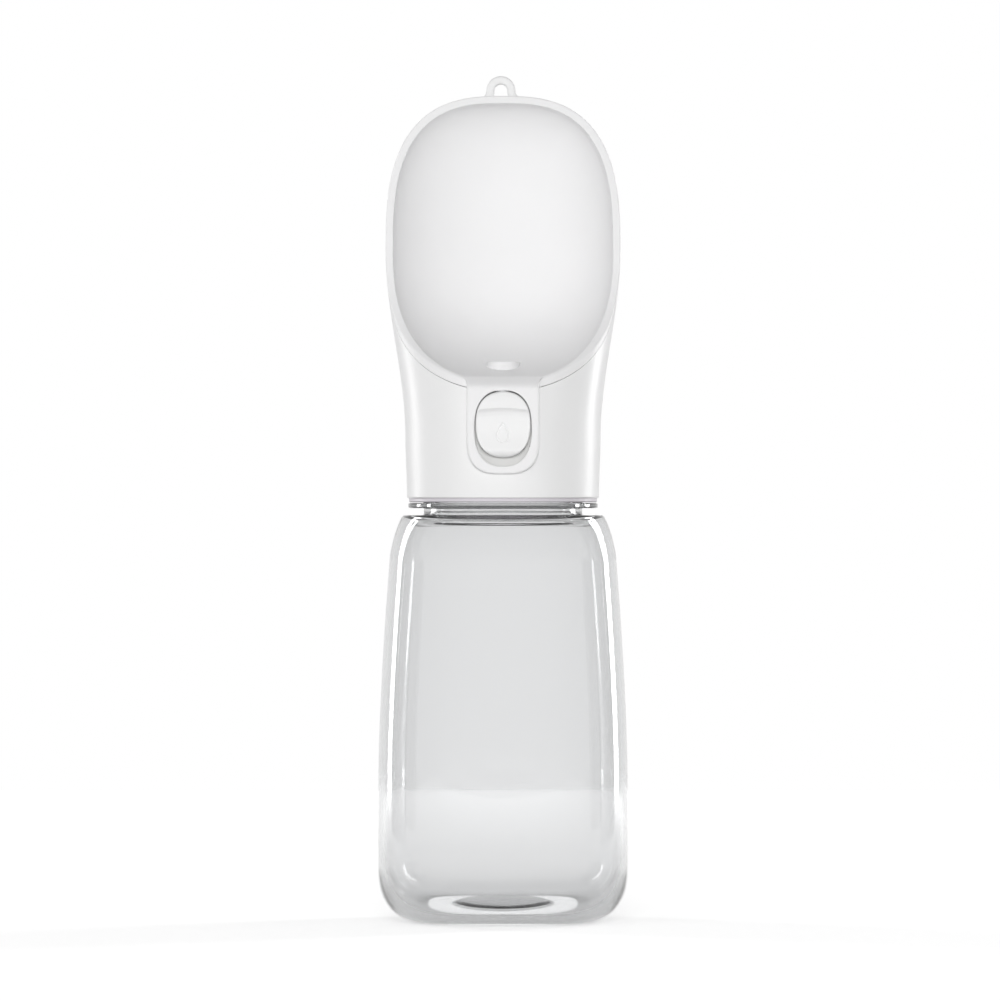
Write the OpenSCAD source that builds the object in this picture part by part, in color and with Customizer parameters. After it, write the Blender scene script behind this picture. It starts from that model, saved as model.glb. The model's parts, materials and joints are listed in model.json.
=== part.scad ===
// Dog travel water bottle: clear bottle, screw-on head with a drinking scoop,
// and a lockable thumb key that opens a spring valve between the two.
// Millimetres. +Z is up, the scoop faces -Y, the origin is under the bottle's middle.

/* [Bottle] */
// Width of the bottle at its widest level
bottle_w = 72; // [68:0.5:78]
// Front to back size of the bottle at its widest level
bottle_d = 68; // [66:0.5:74]
// Height of the flat shoulder above the table
bottle_h = 117.4; // [100:0.1:140]
// Squareness of the bottle's cross-section, where 2 is an ellipse
bottle_square = 2.8; // [2.2:0.1:3.6]
// Level at which the bottle is widest
waist_z = 43; // [30:1:60]
// How much each side leans in between the widest level and the shoulder
side_lean = 4.3; // [2:0.1:5]
// Width of the bottom corner, seen from the front
foot_w = 13.5; // [8:0.5:16]
// Height of the bottom corner, seen from the front
foot_h = 15; // [10:0.5:22]
// Width of the shoulder corner
shoulder_w = 3; // [2:0.1:4]
// Height of the shoulder corner
shoulder_h = 12; // [8:0.5:16]
// Thickness of the bottle's side wall
bottle_wall = 1.9; // [1.2:0.1:2.4]
// Thickness of the bottle's floor
floor_t = 2.3; // [1.6:0.1:3]
// Thickness of the bottle's shoulder
shoulder_t = 1.5; // [1.2:0.1:2.4]
// Radius of the hollow under the base
punt_r = 14; // [8:0.5:18]
// Rise of the hollow under the base
punt_h = 2.2; // [1:0.1:4]

/* [Neck and thread] */
// Outer radius of the neck between its threads
neck_r = 22.9; // [21.5:0.1:23.5]
// Thickness of the neck's wall
neck_wall = 2.1; // [1.5:0.1:2.6]
// Height of the neck above the shoulder
neck_h = 10.2; // [10.2:0.1:13]
// Height of the neck's flange above the shoulder
flange_gap = 2; // [1.5:0.1:2.6]
// Thickness of the neck's flange
flange_t = 1.5; // [1:0.1:1.8]
// Radius of the neck's flange
flange_r = 27.4; // [26.5:0.1:27.6]
// Rise of the screw in one turn
thread_lead = 6; // [5:0.25:7]
// Number of thread starts
thread_starts = 2; // [2:1:2]
// Height of a thread above its wall
thread_t = 1.3; // [0.9:0.05:1.4]
// Turns that each thread runs for
thread_turns = 0.72; // [0.4:0.02:0.72]

/* [Screw collar and seals] */
// Wall of the collar's sleeve
collar_wall = 1.4; // [1.2:0.05:1.5]
// Height of the collar's visible band
lip_t = 1.2; // [0.8:0.1:2]
// How far the visible band is set in from the head above it
lip_inset = 0.55; // [0.2:0.05:0.9]
// Thickness of the deck that carries the valve
deck_t = 1.3; // [1.1:0.05:1.4]
// Thickness of the neck seal
seal_t = 1.3; // [1:0.05:1.4]
// Width of the neck seal's ring
seal_w = 2.4; // [2.1:0.1:2.6]

/* [Head] */
// Radius of the head where it meets the collar
head_r = 27.75; // [27.75:0.05:28.4]
// Width of the head across the scoop
head_w = 68; // [66:0.5:72]
// Height of the head's foot below the scoop's lip
skirt_h = 32.7; // [32.7:0.1:36]
// Height from the scoop's lip to the widest level
scoop_drop = 39; // [37:0.5:44]
// Height from the widest level to the top
scoop_rise = 44.8; // [42:0.2:50]
// How much the skirt widens just above its foot
skirt_flare = 0.5; // [0.3:0.1:0.9]
// Wall of the outer shell
shell_wall = 1.6; // [1.2:0.05:1.6]
// Height above the lip at which the back starts to curve forwards
back_bend = 20; // [12:1:26]
// Depth of the head at its very top
crown_d = 6; // [5:0.5:9]
// How far the rim leans back at the top
rim_lean = 3; // [1:0.5:4]

/* [Bowl] */
// Width of the rim seen from the front
rim_w = 2.2; // [1.8:0.1:2.8]
// Thickness of the rim, front to back
rim_t = 2; // [1.4:0.1:2.4]
// Wall of the bowl
bowl_wall = 1.4; // [1:0.05:1.5]
// Distance of the bowl's deepest point behind the head's middle
bowl_deep = 21; // [18:0.5:22]
// Slope of the bowl's floor at the lip, in degrees
floor_slope = 10; // [6:1:14]
// Distance of the outlet in front of the head's middle
outlet_y = 7.5; // [6:0.25:9]
// Radius of the hole in the bowl's floor
outlet_r = 1.6; // [1:0.05:1.8]
// Radius of the dimple around the hole
dimple_r = 3.75; // [3:0.05:4.5]
// Depth of the dimple
dimple_d = 0.9; // [0.5:0.05:1.2]

/* [Hanging loop] */
// Outer width of the loop
loop_w = 8.5; // [7:0.1:11]
// Width of the loop's bar
loop_bar = 2.45; // [1.8:0.05:2.8]
// Depth of the loop's bar, front to back
loop_d = 3; // [2:0.1:4]
// Height of the loop above the head's crown
loop_h = 5.9; // [5:0.1:9]
// Sideways place of the loop
loop_x = -0.6; // [-2:0.1:2]

/* [Bezel and key] */
// Width of the raised pad around the key
pad_w = 20.7; // [20:0.1:24]
// How far the pad stands in front of the skirt
pad_t = 1.05; // [0.6:0.05:1.6]
// Width of the frame around the key's opening at its foot
pad_foot = 2.2; // [1.5:0.1:3]
// Width of the key's opening
slot_w = 16.4; // [15.8:0.1:16.8]
// Height of the key's opening above the collar's deck
slot_rise = 1; // [0.9:0.1:1.4]
// Distance of the opening below the scoop's lip
slot_drop = 2; // [1.8:0.1:2.2]
// Gap around the key in its opening
key_gap = 0.35; // [0.2:0.05:0.5]
// How far the key slides down to lock
lock_travel = 2.4; // [1.5:0.1:2.6]
// How far the key is pressed in to pour
press_travel = 3; // [2:0.1:3]
// How far the key stands in front of its pad
key_proud = 0.6; // [0.2:0.1:1.5]
// Depth of the thumb dish in the key
key_dish = 1.8; // [1:0.1:2.4]

/* [Valve] */
// Height of the valve's axis above the deck
valve_rise = 11.7; // [11.4:0.1:12.2]
// Outer radius of the valve housing
housing_r = 7; // [6.9:0.05:7.2]
// Radius of the valve stem
stem_r = 2; // [1.8:0.05:2.1]
// Radius of the passage in front of the valve's seat
throat_r = 3.2; // [3:0.05:3.4]
// Radius of the rubber disc that closes the seat
disc_r = 4.4; // [4.2:0.05:4.6]
// Thickness of the rubber disc
disc_t = 2; // [1.5:0.1:2.4]
// Wire of the return spring
spring_wire = 0.6; // [0.4:0.05:0.7]
// Turns of the return spring
spring_turns = 6; // [4:1:7]
// Radius of the pipe that feeds the valve
inlet_r = 3; // [2.4:0.1:3.2]
// Radius of the screws' shanks
screw_r = 1; // [0.8:0.05:1.1]

/* [Hidden] */

ROUND = 60;            // sides of a part that becomes a mesh
SMALL = 28;            // sides of a small round
SKIN = 44;             // points around a lofted section
touch = 0.05;          // gap between pieces that bear on each other
run_gap = 0.06;        // radial gap of a part that slides or turns in a bore
thread_gap = 0.4;      // gap between crests and roots of the screw
part_gap = 0.1;        // gap between fixed mouldings
seat_gap = 0.2;        // gap between the neck's flange and the collar
rim_start = 0.6;       // how far in front of the rim the bowl's half ellipses start
eps = 0.01;
past = 8;               // how far a cut runs past what it cuts

// Levels, from the shoulder up
flange_z = bottle_h + flange_gap;
collar_z = flange_z + flange_t + seat_gap;
shell_z = collar_z + lip_t;
neck_top = bottle_h + neck_h;
seal_z = neck_top + touch;
deck_z = seal_z + seal_t + touch;
deck_top = deck_z + deck_t;
lip_z = shell_z + skirt_h;
wide_z = lip_z + scoop_drop;
crown_z = wide_z + scoop_rise;
bend_z = lip_z + back_bend;
valve_z = deck_top + valve_rise;

// Collar radii
sleeve_r = neck_r + thread_t + thread_gap;
sleeve_out = sleeve_r + collar_wall;
lip_r = head_r - lip_inset;
bore_r = neck_r - neck_wall;

// Head
skirt_r = head_r + skirt_flare;
scoop_half = head_w / 2 - rim_w;
scoop_low = scoop_drop - rim_w * 0.38;
scoop_high = scoop_rise - rim_w;
floor_rise = tan(floor_slope);

// Key stack, front to back
pad_y = -skirt_r - pad_t;
key_y = pad_y - key_proud;
slot_top = lip_z - slot_drop;
slot_z = deck_top + slot_rise;
slot_h = slot_top - slot_z;
key_w = slot_w - 2 * key_gap;
key_top = slot_top - key_gap;
key_z = slot_z + lock_travel + key_gap / 2;
frame_t = 1.5;
frame_gap = 0.3;
frame_y = -head_r + 2.25;
pocket_y = frame_y - 0.4;
pad_flare = 1.3;
pad_join = lip_z - 0.65;
key_back = frame_y - frame_gap;
frame_w = slot_w + 2.1;
frame_z = slot_z - 0.7;
frame_top = slot_top + 0.7;
leg_x = 5;
leg_t = 1.6;
leg_h = 6;
leg_z = valve_z - 3;
hook_t = 0.9;
pin_x = 7.3;
pin_z = valve_z + 6;
pin_r = 1.45;

// Valve stack, front to back
hub_t = 1.7;
hub_y = frame_y + frame_t;
housing_y = hub_y + hub_t + press_travel + 0.3;
gland_t = 3;
ring_t = 2;
throat_y = housing_y + gland_t + ring_t;
seat_y = 2;
chamber_r = 5.2;
gland_r = 4;
disc_y = seat_y + touch;
nut_y = disc_y + disc_t + touch;
nut_t = 1.2;
spring_y = nut_y + nut_t + touch;
spring_r = 3.3;
plug_y = 13;
plug_end = 17;
flange_end = 18.5;
tail_r = 1.4;
inlet_y = 9;
spigot_drop = 10;
// Where the bowl's floor is above the spigot, and how steep it is there
outlet_u = pow((skirt_r - outlet_y) / (bowl_deep + skirt_r), 2.8);
outlet_a = atan2(sqrt(outlet_u), sqrt(1 - outlet_u));
outlet_z = floor_point(outlet_a, 0, scoop_low)[1];
outlet_tilt = let(
    ahead = floor_point(outlet_a + 1, 0, scoop_low),
    behind = floor_point(outlet_a - 1, 0, scoop_low)
) atan2(ahead[1] - behind[1], ahead[0] - behind[0]);
socket_z = outlet_z - spigot_drop;
socket_h = 4.6;
boss_z = socket_z + socket_h + 2.4;    // lower end of the boss under the outlet
boss_w = 1.1;
spigot_r = 2.6;
sleeve_t = 1.2;
feet_h = 5;
foot_t = 2;
screw_end = 0.9;
feet_z = deck_top + feet_h;
head_t = 1.4;
slot_deep = 0.9;
foot_x = 12.5;
foot_ys = [-6, 13];

function power(v, p) = sign(v) * pow(abs(v), p);
function ease(t) = let(u = min(1, max(0, t))) u * u * (3 - 2 * u);

// A corner that follows a superellipse: 0 at t = 0 and 1 at t = 1
function corner(t, n) = 1 - pow(1 - pow(min(1, max(0, t)), n), 1 / n);

// A dome that falls from 1 at t = 0 to 0 at t = 1
function dome(t, n) = pow(max(0, 1 - pow(min(1, max(0, t)), n)), 1 / n);

// Closed skin through sections that all have as many points
module skin(sections) {
    m = len(sections[0]);
    n = len(sections);
    polyhedron(
        points = [for (s = sections) each s],
        faces = concat(
            [[for (i = [0 : m - 1]) i]],
            [for (k = [0 : n - 2], i = [0 : m - 1])
                let(j = (i + 1) % m)
                [k * m + i, (k + 1) * m + i, (k + 1) * m + j, k * m + j]],
            [[for (i = [m - 1 : -1 : 0]) (n - 1) * m + i]]
        ),
        convexity = 6
    );
}

// Bottle

function bottle_half(z) =
    bottle_w / 2
    - side_lean * pow(max(0, (z - waist_z) / (bottle_h - waist_z)), 1.5)
    - shoulder_w * corner((z - bottle_h + shoulder_h) / shoulder_h, 1.5)
    - foot_w * corner((foot_h - z) / foot_h, 2.3);

function bottle_levels() = concat(
    [for (a = [0, 15, 28, 40, 52, 64, 76]) foot_h * (1 - cos(a))],
    [for (k = [0 : 5]) foot_h + (bottle_h - shoulder_h - foot_h) * k / 6],
    [for (t = [0, 0.3, 0.5, 0.68, 0.82, 0.92, 1]) bottle_h - shoulder_h + shoulder_h * t]
);

// One section of the bottle, drawn in by a wall and kept between its floor and shoulder
function bottle_ring(z, inset, low, high) =
    let(
        x = bottle_half(z) - inset,
        y = x - (bottle_w - bottle_d) / 2,
        level = low + (high - low) * z / bottle_h
    )
    [for (i = [0 : SKIN - 1])
        let(a = 360 * i / SKIN)
        [
            x * power(cos(a), 2 / bottle_square),
            y * power(sin(a), 2 / bottle_square),
            level
        ]];

module bottle_solid(inset, low, high) {
    skin([for (z = bottle_levels()) bottle_ring(z, inset, low, high)]);
}

module punt_dome(lift) {
    translate([0, 0, lift])
        rotate_extrude($fn = 36)
            polygon(concat(
                [[0, -1 - lift], [punt_r, -1 - lift]],
                [for (a = [0 : 18 : 90]) [punt_r * cos(a), punt_h * sin(a)]]
            ));
}

// A helical rib made of short straight pieces, from radius r0 out or in to r1
module thread(r0, r1, wide, narrow, z) {
    step = 15;
    count = round(360 * thread_turns / step);
    for (s = [0 : thread_starts - 1], k = [0 : count - 1]) {
        hull() {
            for (e = [k, k + 1]) {
                turn = e * step;
                translate([0, 0, z + thread_lead * turn / 360])
                    rotate([0, 0, turn + s * 360 / thread_starts])
                        rotate([90, 0, 0])
                            linear_extrude(eps, center = true)
                                polygon([
                                    [r0, -wide / 2], [r1, -narrow / 2],
                                    [r1, narrow / 2], [r0, wide / 2],
                                ]);
            }
        }
    }
}

thread_pitch = thread_lead / thread_starts;
thread_z = flange_z + flange_t + 0.22 * thread_lead;

module bottle() {
    color([0.88, 0.9, 0.91, 0.45]) {
        difference() {
            union() {
                bottle_solid(0, 0, bottle_h);
                rotate_extrude($fn = ROUND)
                    polygon([
                        [0, bottle_h - 1], [neck_r, bottle_h - 1],
                        [neck_r, neck_top - 0.6], [neck_r - 0.6, neck_top], [0, neck_top],
                    ]);
                rotate_extrude($fn = ROUND)
                    polygon([
                        [neck_r - 0.5, flange_z], [flange_r - 0.3, flange_z],
                        [flange_r, flange_z + 0.4], [flange_r, flange_z + flange_t - 0.3],
                        [flange_r - 0.3, flange_z + flange_t], [neck_r - 0.5, flange_z + flange_t],
                    ]);
                thread(neck_r - 0.3, neck_r + thread_t, 0.55 * thread_pitch, 0.3 * thread_pitch, thread_z);
            }
            difference() {
                bottle_solid(bottle_wall, floor_t, bottle_h - shoulder_t);
                punt_dome(floor_t);
            }
            punt_dome(0);
            translate([0, 0, bottle_h - shoulder_t - 1])
                cylinder(r = bore_r, h = neck_h + shoulder_t + 2, $fn = ROUND);
        }
    }
}

// Screw collar and neck seal

module neck_seal() {
    color([0.93, 0.93, 0.92])
        rotate_extrude()
            translate([sleeve_r - thread_t - 3 * part_gap - seal_w, seal_z])
                square([seal_w, seal_t]);
}

module screw_collar() {
    cup_in = inlet_r + 1.4 + 1;
    boss_h = feet_z - deck_top;
    color([0.86, 0.85, 0.88]) {
        difference() {
            union() {
                rotate_extrude($fn = ROUND)
                    polygon([
                        [sleeve_r, collar_z], [lip_r - 0.3, collar_z], [lip_r, collar_z + 0.3],
                        [lip_r, shell_z - touch], [sleeve_out, shell_z - touch],
                        [sleeve_out, deck_top], [0, deck_top], [0, deck_z], [sleeve_r, deck_z],
                    ]);
                thread(sleeve_r + 0.3, sleeve_r - thread_t, 0.42 * thread_pitch, 0.24 * thread_pitch,
                    thread_z + thread_pitch / 2);
                translate([0, inlet_y, deck_top - eps])
                    cylinder(r = cup_in + 1, h = 4.2, $fn = SMALL);
                for (x = [-foot_x, foot_x], y = foot_ys)
                    translate([x, y, deck_top - eps])
                        cylinder(r = screw_r + 1.6, h = boss_h, $fn = SMALL);
            }
            translate([0, inlet_y, deck_z - 1])
                cylinder(r = inlet_r, h = deck_t + 2, $fn = SMALL);
            translate([0, inlet_y, deck_top])
                cylinder(r = cup_in, h = 5, $fn = SMALL);
            for (x = [-foot_x, foot_x], y = foot_ys)
                translate([x, y, deck_top + 0.6])
                    cylinder(r = screw_r + touch, h = boss_h, $fn = SMALL);
        }
    }
}

// Head: the outline that the shell and the bowl share

function head_half(z) =
    z > wide_z
    ? head_w / 2 * dome((z - wide_z) / scoop_rise, 2.8)
    : head_r
        + skirt_flare * ease((z - shell_z) / (0.45 * skirt_h + 3))
        + (head_w / 2 - skirt_r) * ease((z - shell_z - 0.55 * skirt_h) / (wide_z - shell_z - 0.55 * skirt_h));

function head_depth(z) =
    z > bend_z
    ? crown_d + (skirt_r - crown_d) * dome((z - bend_z) / (crown_z - bend_z), 2.4)
    : head_r + skirt_flare * ease((z - shell_z) / (0.45 * skirt_h + 3));

function head_front(z) = head_r + skirt_flare * ease((z - shell_z) / (0.45 * skirt_h + 3));

function head_levels() = concat(
    [for (k = [0 : 9]) shell_z + (wide_z - shell_z) * k / 10],
    [for (a = [0, 12, 24, 35, 45, 54, 62, 69, 75, 80, 84, 87, 89])
        wide_z + scoop_rise * sin(a)]
);

// One section of the head, drawn in by a wall
function head_ring(z, inset, low, high) =
    let(
        x = max(0.4, head_half(z) - inset),
        back = max(0.4, head_depth(z) - inset),
        front = head_front(z) - inset,
        level = low + (high - low) * (z - shell_z) / (crown_z - shell_z)
    )
    [for (i = [0 : SKIN - 1])
        let(a = 360 * i / SKIN)
        [x * cos(a), (sin(a) > 0 ? back : front) * sin(a), level]];

module head_solid() {
    skin([for (z = head_levels()) head_ring(z, 0, shell_z, crown_z)]);
}

module head_hollow() {
    skin([for (z = head_levels()) head_ring(z, shell_wall, shell_z - 1, crown_z - shell_wall)]);
}

// Side view of the rim: it sweeps back from the lip, then stands up and leans a little
function rim_y(z) =
    z < wide_z
    ? -skirt_r * pow(1 - (z - lip_z) / scoop_drop, 2)
    : rim_lean * pow((z - wide_z) / scoop_rise, 2);

function rim_slope(z) = (rim_y(z + eps) - rim_y(z - eps)) / (2 * eps);

function rim_point(z, back) =
    let(s = rim_slope(z), l = sqrt(1 + s * s))
    [rim_y(z) + back / l, z - back * s / l];

// Everything in front of the rim's curve, moved back by a distance
module rim_cut(back) {
    low = lip_z - 5;
    rotate([90, 0, 90])
        linear_extrude(head_w + 2.5 * past, center = true)
            polygon(concat(
                [[-skirt_r * 3, low]],
                [for (k = [0 : 26]) rim_point(low + (crown_z + past - low) * k / 26, back)],
                [[-skirt_r * 3, crown_z + past]]
            ));
}

// The bowl, drawn out by a wall. Each level is a half ellipse from the rim to the bowl's back.
function bowl_half(z, grow, low, high) =
    (scoop_half + grow)
    * (z < wide_z ? dome((wide_z - z) / low, 2.38) : dome((z - wide_z) / high, 2.8));

// Side view below the widest level: a gentle floor that turns up into the back, at 0 to 90
function floor_point(a, grow, low) =
    let(
        deep = bowl_deep + grow + skirt_r,
        u = power(sin(a), 2 / 2.8),
        climb = floor_rise * deep
    )
    [deep * u - skirt_r, wide_z - low + climb * u + (low - climb) * (1 - power(cos(a), 2 / 2.8))];

// Side view above the widest level, from 0 to 90
function back_point(a, grow, high) =
    [rim_lean + (bowl_deep + grow - rim_lean) * power(cos(a), 2 / 2.4),
        wide_z + high * power(sin(a), 2 / 2.4)];

function bowl_profile(grow, low, high) = concat(
    [for (a = [0.3, 1.5, 5, 10, 16, 23, 30, 38, 46, 54, 62, 70, 77, 84]) floor_point(a, grow, low)],
    [for (a = [0, 9, 18, 27, 36, 45, 54, 62, 70, 77, 83, 87]) back_point(a, grow, high)]
);

module bowl_skin(grow, grow_low, grow_high) {
    low = scoop_low + grow_low;
    high = scoop_high + grow_high;
    arc = 28;
    skin([for (p = bowl_profile(grow, low, high))
        let(
            z = p[1],
            x = max(0.3, bowl_half(z, grow, low, high)),
            y = rim_y(z) - rim_start,
            back = max(0.2, p[0] - y)
        )
        concat(
            [[-x, -2 * skirt_r, z], [x, -2 * skirt_r, z]],
            [for (i = [0 : arc]) [x * cos(180 * i / arc), y + back * sin(180 * i / arc), z]]
        )]);
}

module bowl_outside(gap) {
    bowl_skin(bowl_wall + gap, 0.9 + gap, bowl_wall + gap);
}

// Rounded outline of the key and its opening, in the plane of the pad
module squircle(w, h, n) {
    polygon([for (i = [0 : 47])
        let(a = 7.5 * i)
        [w / 2 * power(cos(a), 2 / n), h / 2 * power(sin(a), 2 / n)]]);
}

// Stands a drawing of X and Z up at a level, growing back from y
module upright(y, depth, z) {
    translate([0, y + depth, z])
        rotate([90, 0, 0])
            linear_extrude(depth)
                children();
}

// The raised pad around the key: a round foot, straight sides and flares into the rim
module pad_outline(grow) {
    foot = 11;
    low = slot_z - pad_foot;
    half = pad_w / 2;
    offset(delta = grow)
        union() {
            translate([0, low + foot])
                squircle(pad_w, 2 * foot, 2.9);
            translate([-half, low + foot])
                square([pad_w, lip_z + 3 - low - foot]);
            pad_flares();
        }
}

// Where the pad runs out into the rim: a wide strip with a fillet under each end
module pad_flares() {
    half = pad_w / 2;
    translate([-half - pad_flare, pad_join])
        square([pad_w + 2 * pad_flare, 4]);
    for (s = [-1, 1])
        translate([s * half, pad_join])
            difference() {
                square(2 * pad_flare, center = true);
                translate([s * pad_flare, -pad_flare])
                    circle(r = pad_flare, $fn = SMALL);
            }
}

// The pad's frame, from its face to the pocket that the key's frame moves in
module pad(grow) {
    upright(pad_y, pocket_y - pad_y + 2 * grow, 0)
        pad_outline(grow);
    block = pad_flare - 2 * touch + 2 * grow;
    for (s = [-1, 1])
        translate([s * (pad_w + pad_flare) / 2 - block / 2, pocket_y - 1, pad_join + touch - grow])
            cube([block, 2.2 + 2 * grow, 4]);
}

module slot_cut(y, depth) {
    upright(y, depth, slot_z + slot_h / 2)
        squircle(slot_w, slot_h, 2.4);
}

// Front view of the loop's bar, drawn in by a chamfer
module loop_outline(inset) {
    bar = loop_bar / 2;
    half = loop_w / 2 - bar;
    top = crown_z + loop_h - bar - half;
    path = concat(
        [[half + 1.7, crown_z - 1.9], [half + 0.4, crown_z + 0.2], [half, top]],
        [for (a = [22.5 : 22.5 : 157.5]) [half * cos(a), top + half * sin(a)]],
        [[-half, top], [-half - 0.4, crown_z + 0.2], [-half - 1.7, crown_z - 1.9]]
    );
    offset(delta = -inset)
        for (k = [0 : len(path) - 2])
            hull()
                for (p = [path[k], path[k + 1]])
                    translate([loop_x + p[0], p[1]])
                        circle(r = bar, $fn = 20);
}

module hanging_loop() {
    y = rim_lean + rim_t + part_gap;
    upright(y, loop_d - 0.5, 0)
        loop_outline(0);
    upright(y + 1, loop_d - 1, 0)
        loop_outline(0.5);
}

module outer_shell() {
    color([0.97, 0.97, 0.96])
        difference() {
            union() {
                difference() {
                    head_solid();
                    head_hollow();
                    translate([-frame_w / 2 - 0.75, pocket_y, deck_top + touch])
                        cube([frame_w + 1.5, 1.5 * past, frame_top + 0.7 - deck_top]);
                }
                hanging_loop();
            }
            rim_cut(rim_t + part_gap);
            bowl_outside(part_gap);
            pad(part_gap);
        }
}

// Short pegs that keep the bowl's back off the shell
module spacer_pegs() {
    low = scoop_low + 0.9;
    high = scoop_high + bowl_wall;
    side = 62;
    for (a = [6, 18, 30, 42, 52], s = [-1, 1]) {
        p = back_point(a, bowl_wall, high);
        z = p[1];
        start = [
            bowl_half(z, bowl_wall, low, high) * cos(side),
            rim_y(z) - rim_start + (p[0] - rim_y(z) + rim_start) * sin(side)
        ];
        wall = [(head_half(z) - shell_wall) * cos(side), (head_depth(z) - shell_wall) * sin(side)];
        end = start + (wall - start) * (1 - 1.1 / norm(wall - start));
        hull() {
            translate([s * (start[0] - 0.4), start[1] - 0.7, z]) sphere(r = 0.9, $fn = 10);
            translate([s * end[0], end[1], z]) sphere(r = 0.6, $fn = 10);
        }
    }
}

module scoop() {
    dish = (pow(dimple_r, 2) + pow(dimple_d, 2)) / (2 * dimple_d);
    color([0.95, 0.94, 0.96])
        difference() {
            union() {
                intersection() {
                    head_solid();
                    union() {
                        bowl_outside(0);
                        rim_cut(rim_t);
                    }
                }
                pad(0);
                translate([0, -outlet_y, boss_z])
                    cylinder(r = dimple_r + boss_w, h = outlet_z + 2 - boss_z, $fn = SMALL);
                translate([0, -outlet_y, socket_z + 0.5])
                    cylinder(r = spigot_r, h = outlet_z - socket_z - 1, $fn = SMALL);
                spacer_pegs();
            }
            rim_cut(0);
            bowl_skin(0, 0, 0);
            translate([0, -outlet_y, outlet_z])
                rotate([outlet_tilt, 0, 0])
                    translate([0, 0, dish - dimple_d])
                        rotate([0, 0, 3])
                            sphere(r = dish, $fn = 32);
            translate([0, -outlet_y, socket_z])
                cylinder(r = outlet_r, h = outlet_z - socket_z + 2, $fn = SMALL);
            slot_cut(pad_y - 1, pocket_y - pad_y + 2);
            translate([0, 0, deck_top - 4])
                cylinder(r = sleeve_out + part_gap, h = 4 + part_gap, $fn = ROUND);
        }
}

// Valve. Its axis runs front to back at valve_z.

// A round along the valve's axis, from y for a length
module shaft(r, y, length, x = 0, z = valve_z) {
    translate([x, y, z])
        rotate([-90, 0, 0])
            cylinder(r = r, h = length, $fn = 48);
}

module pipe(r, y, low, high) {
    translate([0, y, low])
        cylinder(r = r, h = high - low, $fn = 48);
}

module valve_housing() {
    leg_r = inlet_r + 1.4;
    socket_r = spigot_r + sleeve_t + touch;
    foot_r = screw_r + 2.2;
    color([0.9, 0.9, 0.91])
        difference() {
            union() {
                shaft(housing_r, housing_y, plug_end - housing_y);
                pipe(leg_r, inlet_y, deck_top + 0.3, valve_z);
                pipe(socket_r + 1.2, -outlet_y, valve_z, socket_z + socket_h);
                for (s = [-1, 1])
                    shaft(2.7, housing_y, 6, s * pin_x, pin_z);
                for (y = foot_ys) {
                    translate([-foot_x, y - foot_r, feet_z + touch])
                        cube([2 * foot_x, 2 * foot_r, foot_t]);
                    for (x = [-foot_x, foot_x])
                        translate([x, y, feet_z + touch])
                            cylinder(r = foot_r, h = foot_t, $fn = 48);
                }
            }
            shaft(gland_r, housing_y - 1, gland_t + ring_t + 1);
            shaft(throat_r, throat_y - 1, seat_y - throat_y + 2);
            shaft(chamber_r, seat_y, plug_end - seat_y + 1);
            pipe(inlet_r, inlet_y, deck_top, valve_z);
            pipe(outlet_r, -outlet_y, valve_z, socket_z + 1);
            pipe(socket_r, -outlet_y, socket_z, socket_z + socket_h + 1);
            for (s = [-1, 1])
                shaft(pin_r + run_gap, housing_y - 1, past, s * pin_x, pin_z);
            for (x = [-foot_x, foot_x], y = foot_ys)
                translate([x, y, feet_z])
                    cylinder(r = screw_r + 0.3, h = 4, $fn = 48);
        }
}

module inlet_seal() {
    color([0.35, 0.36, 0.38])
        difference() {
            pipe(inlet_r + 1.4 + 1 - touch, inlet_y, deck_top + 0.6, deck_top + 3.6);
            pipe(inlet_r + 1.4 + touch, inlet_y, deck_top, deck_top + 4);
        }
}

module outlet_seal() {
    color([0.93, 0.93, 0.92])
        difference() {
            pipe(spigot_r + sleeve_t, -outlet_y, socket_z + touch, socket_z + socket_h - 0.6);
            pipe(spigot_r + touch, -outlet_y, socket_z - 1, socket_z + socket_h);
        }
}

module housing_screws() {
    color([0.75, 0.76, 0.78])
        for (x = [-foot_x, foot_x], y = foot_ys)
            translate([x, y, 0])
                difference() {
                    union() {
                        translate([0, 0, deck_top + screw_end])
                            cylinder(r = screw_r, h = feet_h + foot_t + 0.2, $fn = 48);
                        translate([0, 0, feet_z + foot_t + 2 * touch])
                            cylinder(r = 2 * screw_r, h = head_t, $fn = 48);
                    }
                    for (a = [0, 90])
                        translate([0, 0, feet_z + foot_t + head_t + touch - slot_deep / 2])
                            rotate([0, 0, a])
                                cube([2.2 * screw_r, 0.5 * screw_r, slot_deep + 2 * touch], center = true);
                }
}

module stem_gland() {
    color([0.82, 0.82, 0.84])
        difference() {
            shaft(gland_r - touch, housing_y + touch, gland_t - 2 * touch);
            shaft(stem_r + run_gap, housing_y - 1, gland_t + 2);
        }
}

module stem_o_ring() {
    color([0.2, 0.2, 0.22])
        difference() {
            shaft(gland_r - touch, housing_y + gland_t + touch, ring_t - 2 * touch);
            shaft(stem_r + run_gap, housing_y + gland_t - 1, ring_t + 2);
        }
}

module valve_stem() {
    color([0.9, 0.9, 0.92])
        difference() {
            union() {
                shaft(stem_r, frame_y + 1, seat_y - frame_y - 1);
                shaft(tail_r, seat_y - 1, nut_y + nut_t + 2 - seat_y);
            }
            shaft(screw_r - 0.1 + touch, frame_y, 7);
        }
}

module valve_disc() {
    color([0.3, 0.31, 0.33])
        difference() {
            shaft(disc_r, disc_y, disc_t);
            shaft(tail_r + touch, disc_y - 1, disc_t + 2);
        }
}

module disc_nut() {
    color([0.75, 0.76, 0.78])
        difference() {
            union() {
                shaft(disc_r - 0.2, nut_y, 0.8 * nut_t);
                shaft(tail_r + 0.7, nut_y, nut_t);
            }
            shaft(tail_r + touch, nut_y - 1, nut_t + 3);
        }
}

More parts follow.
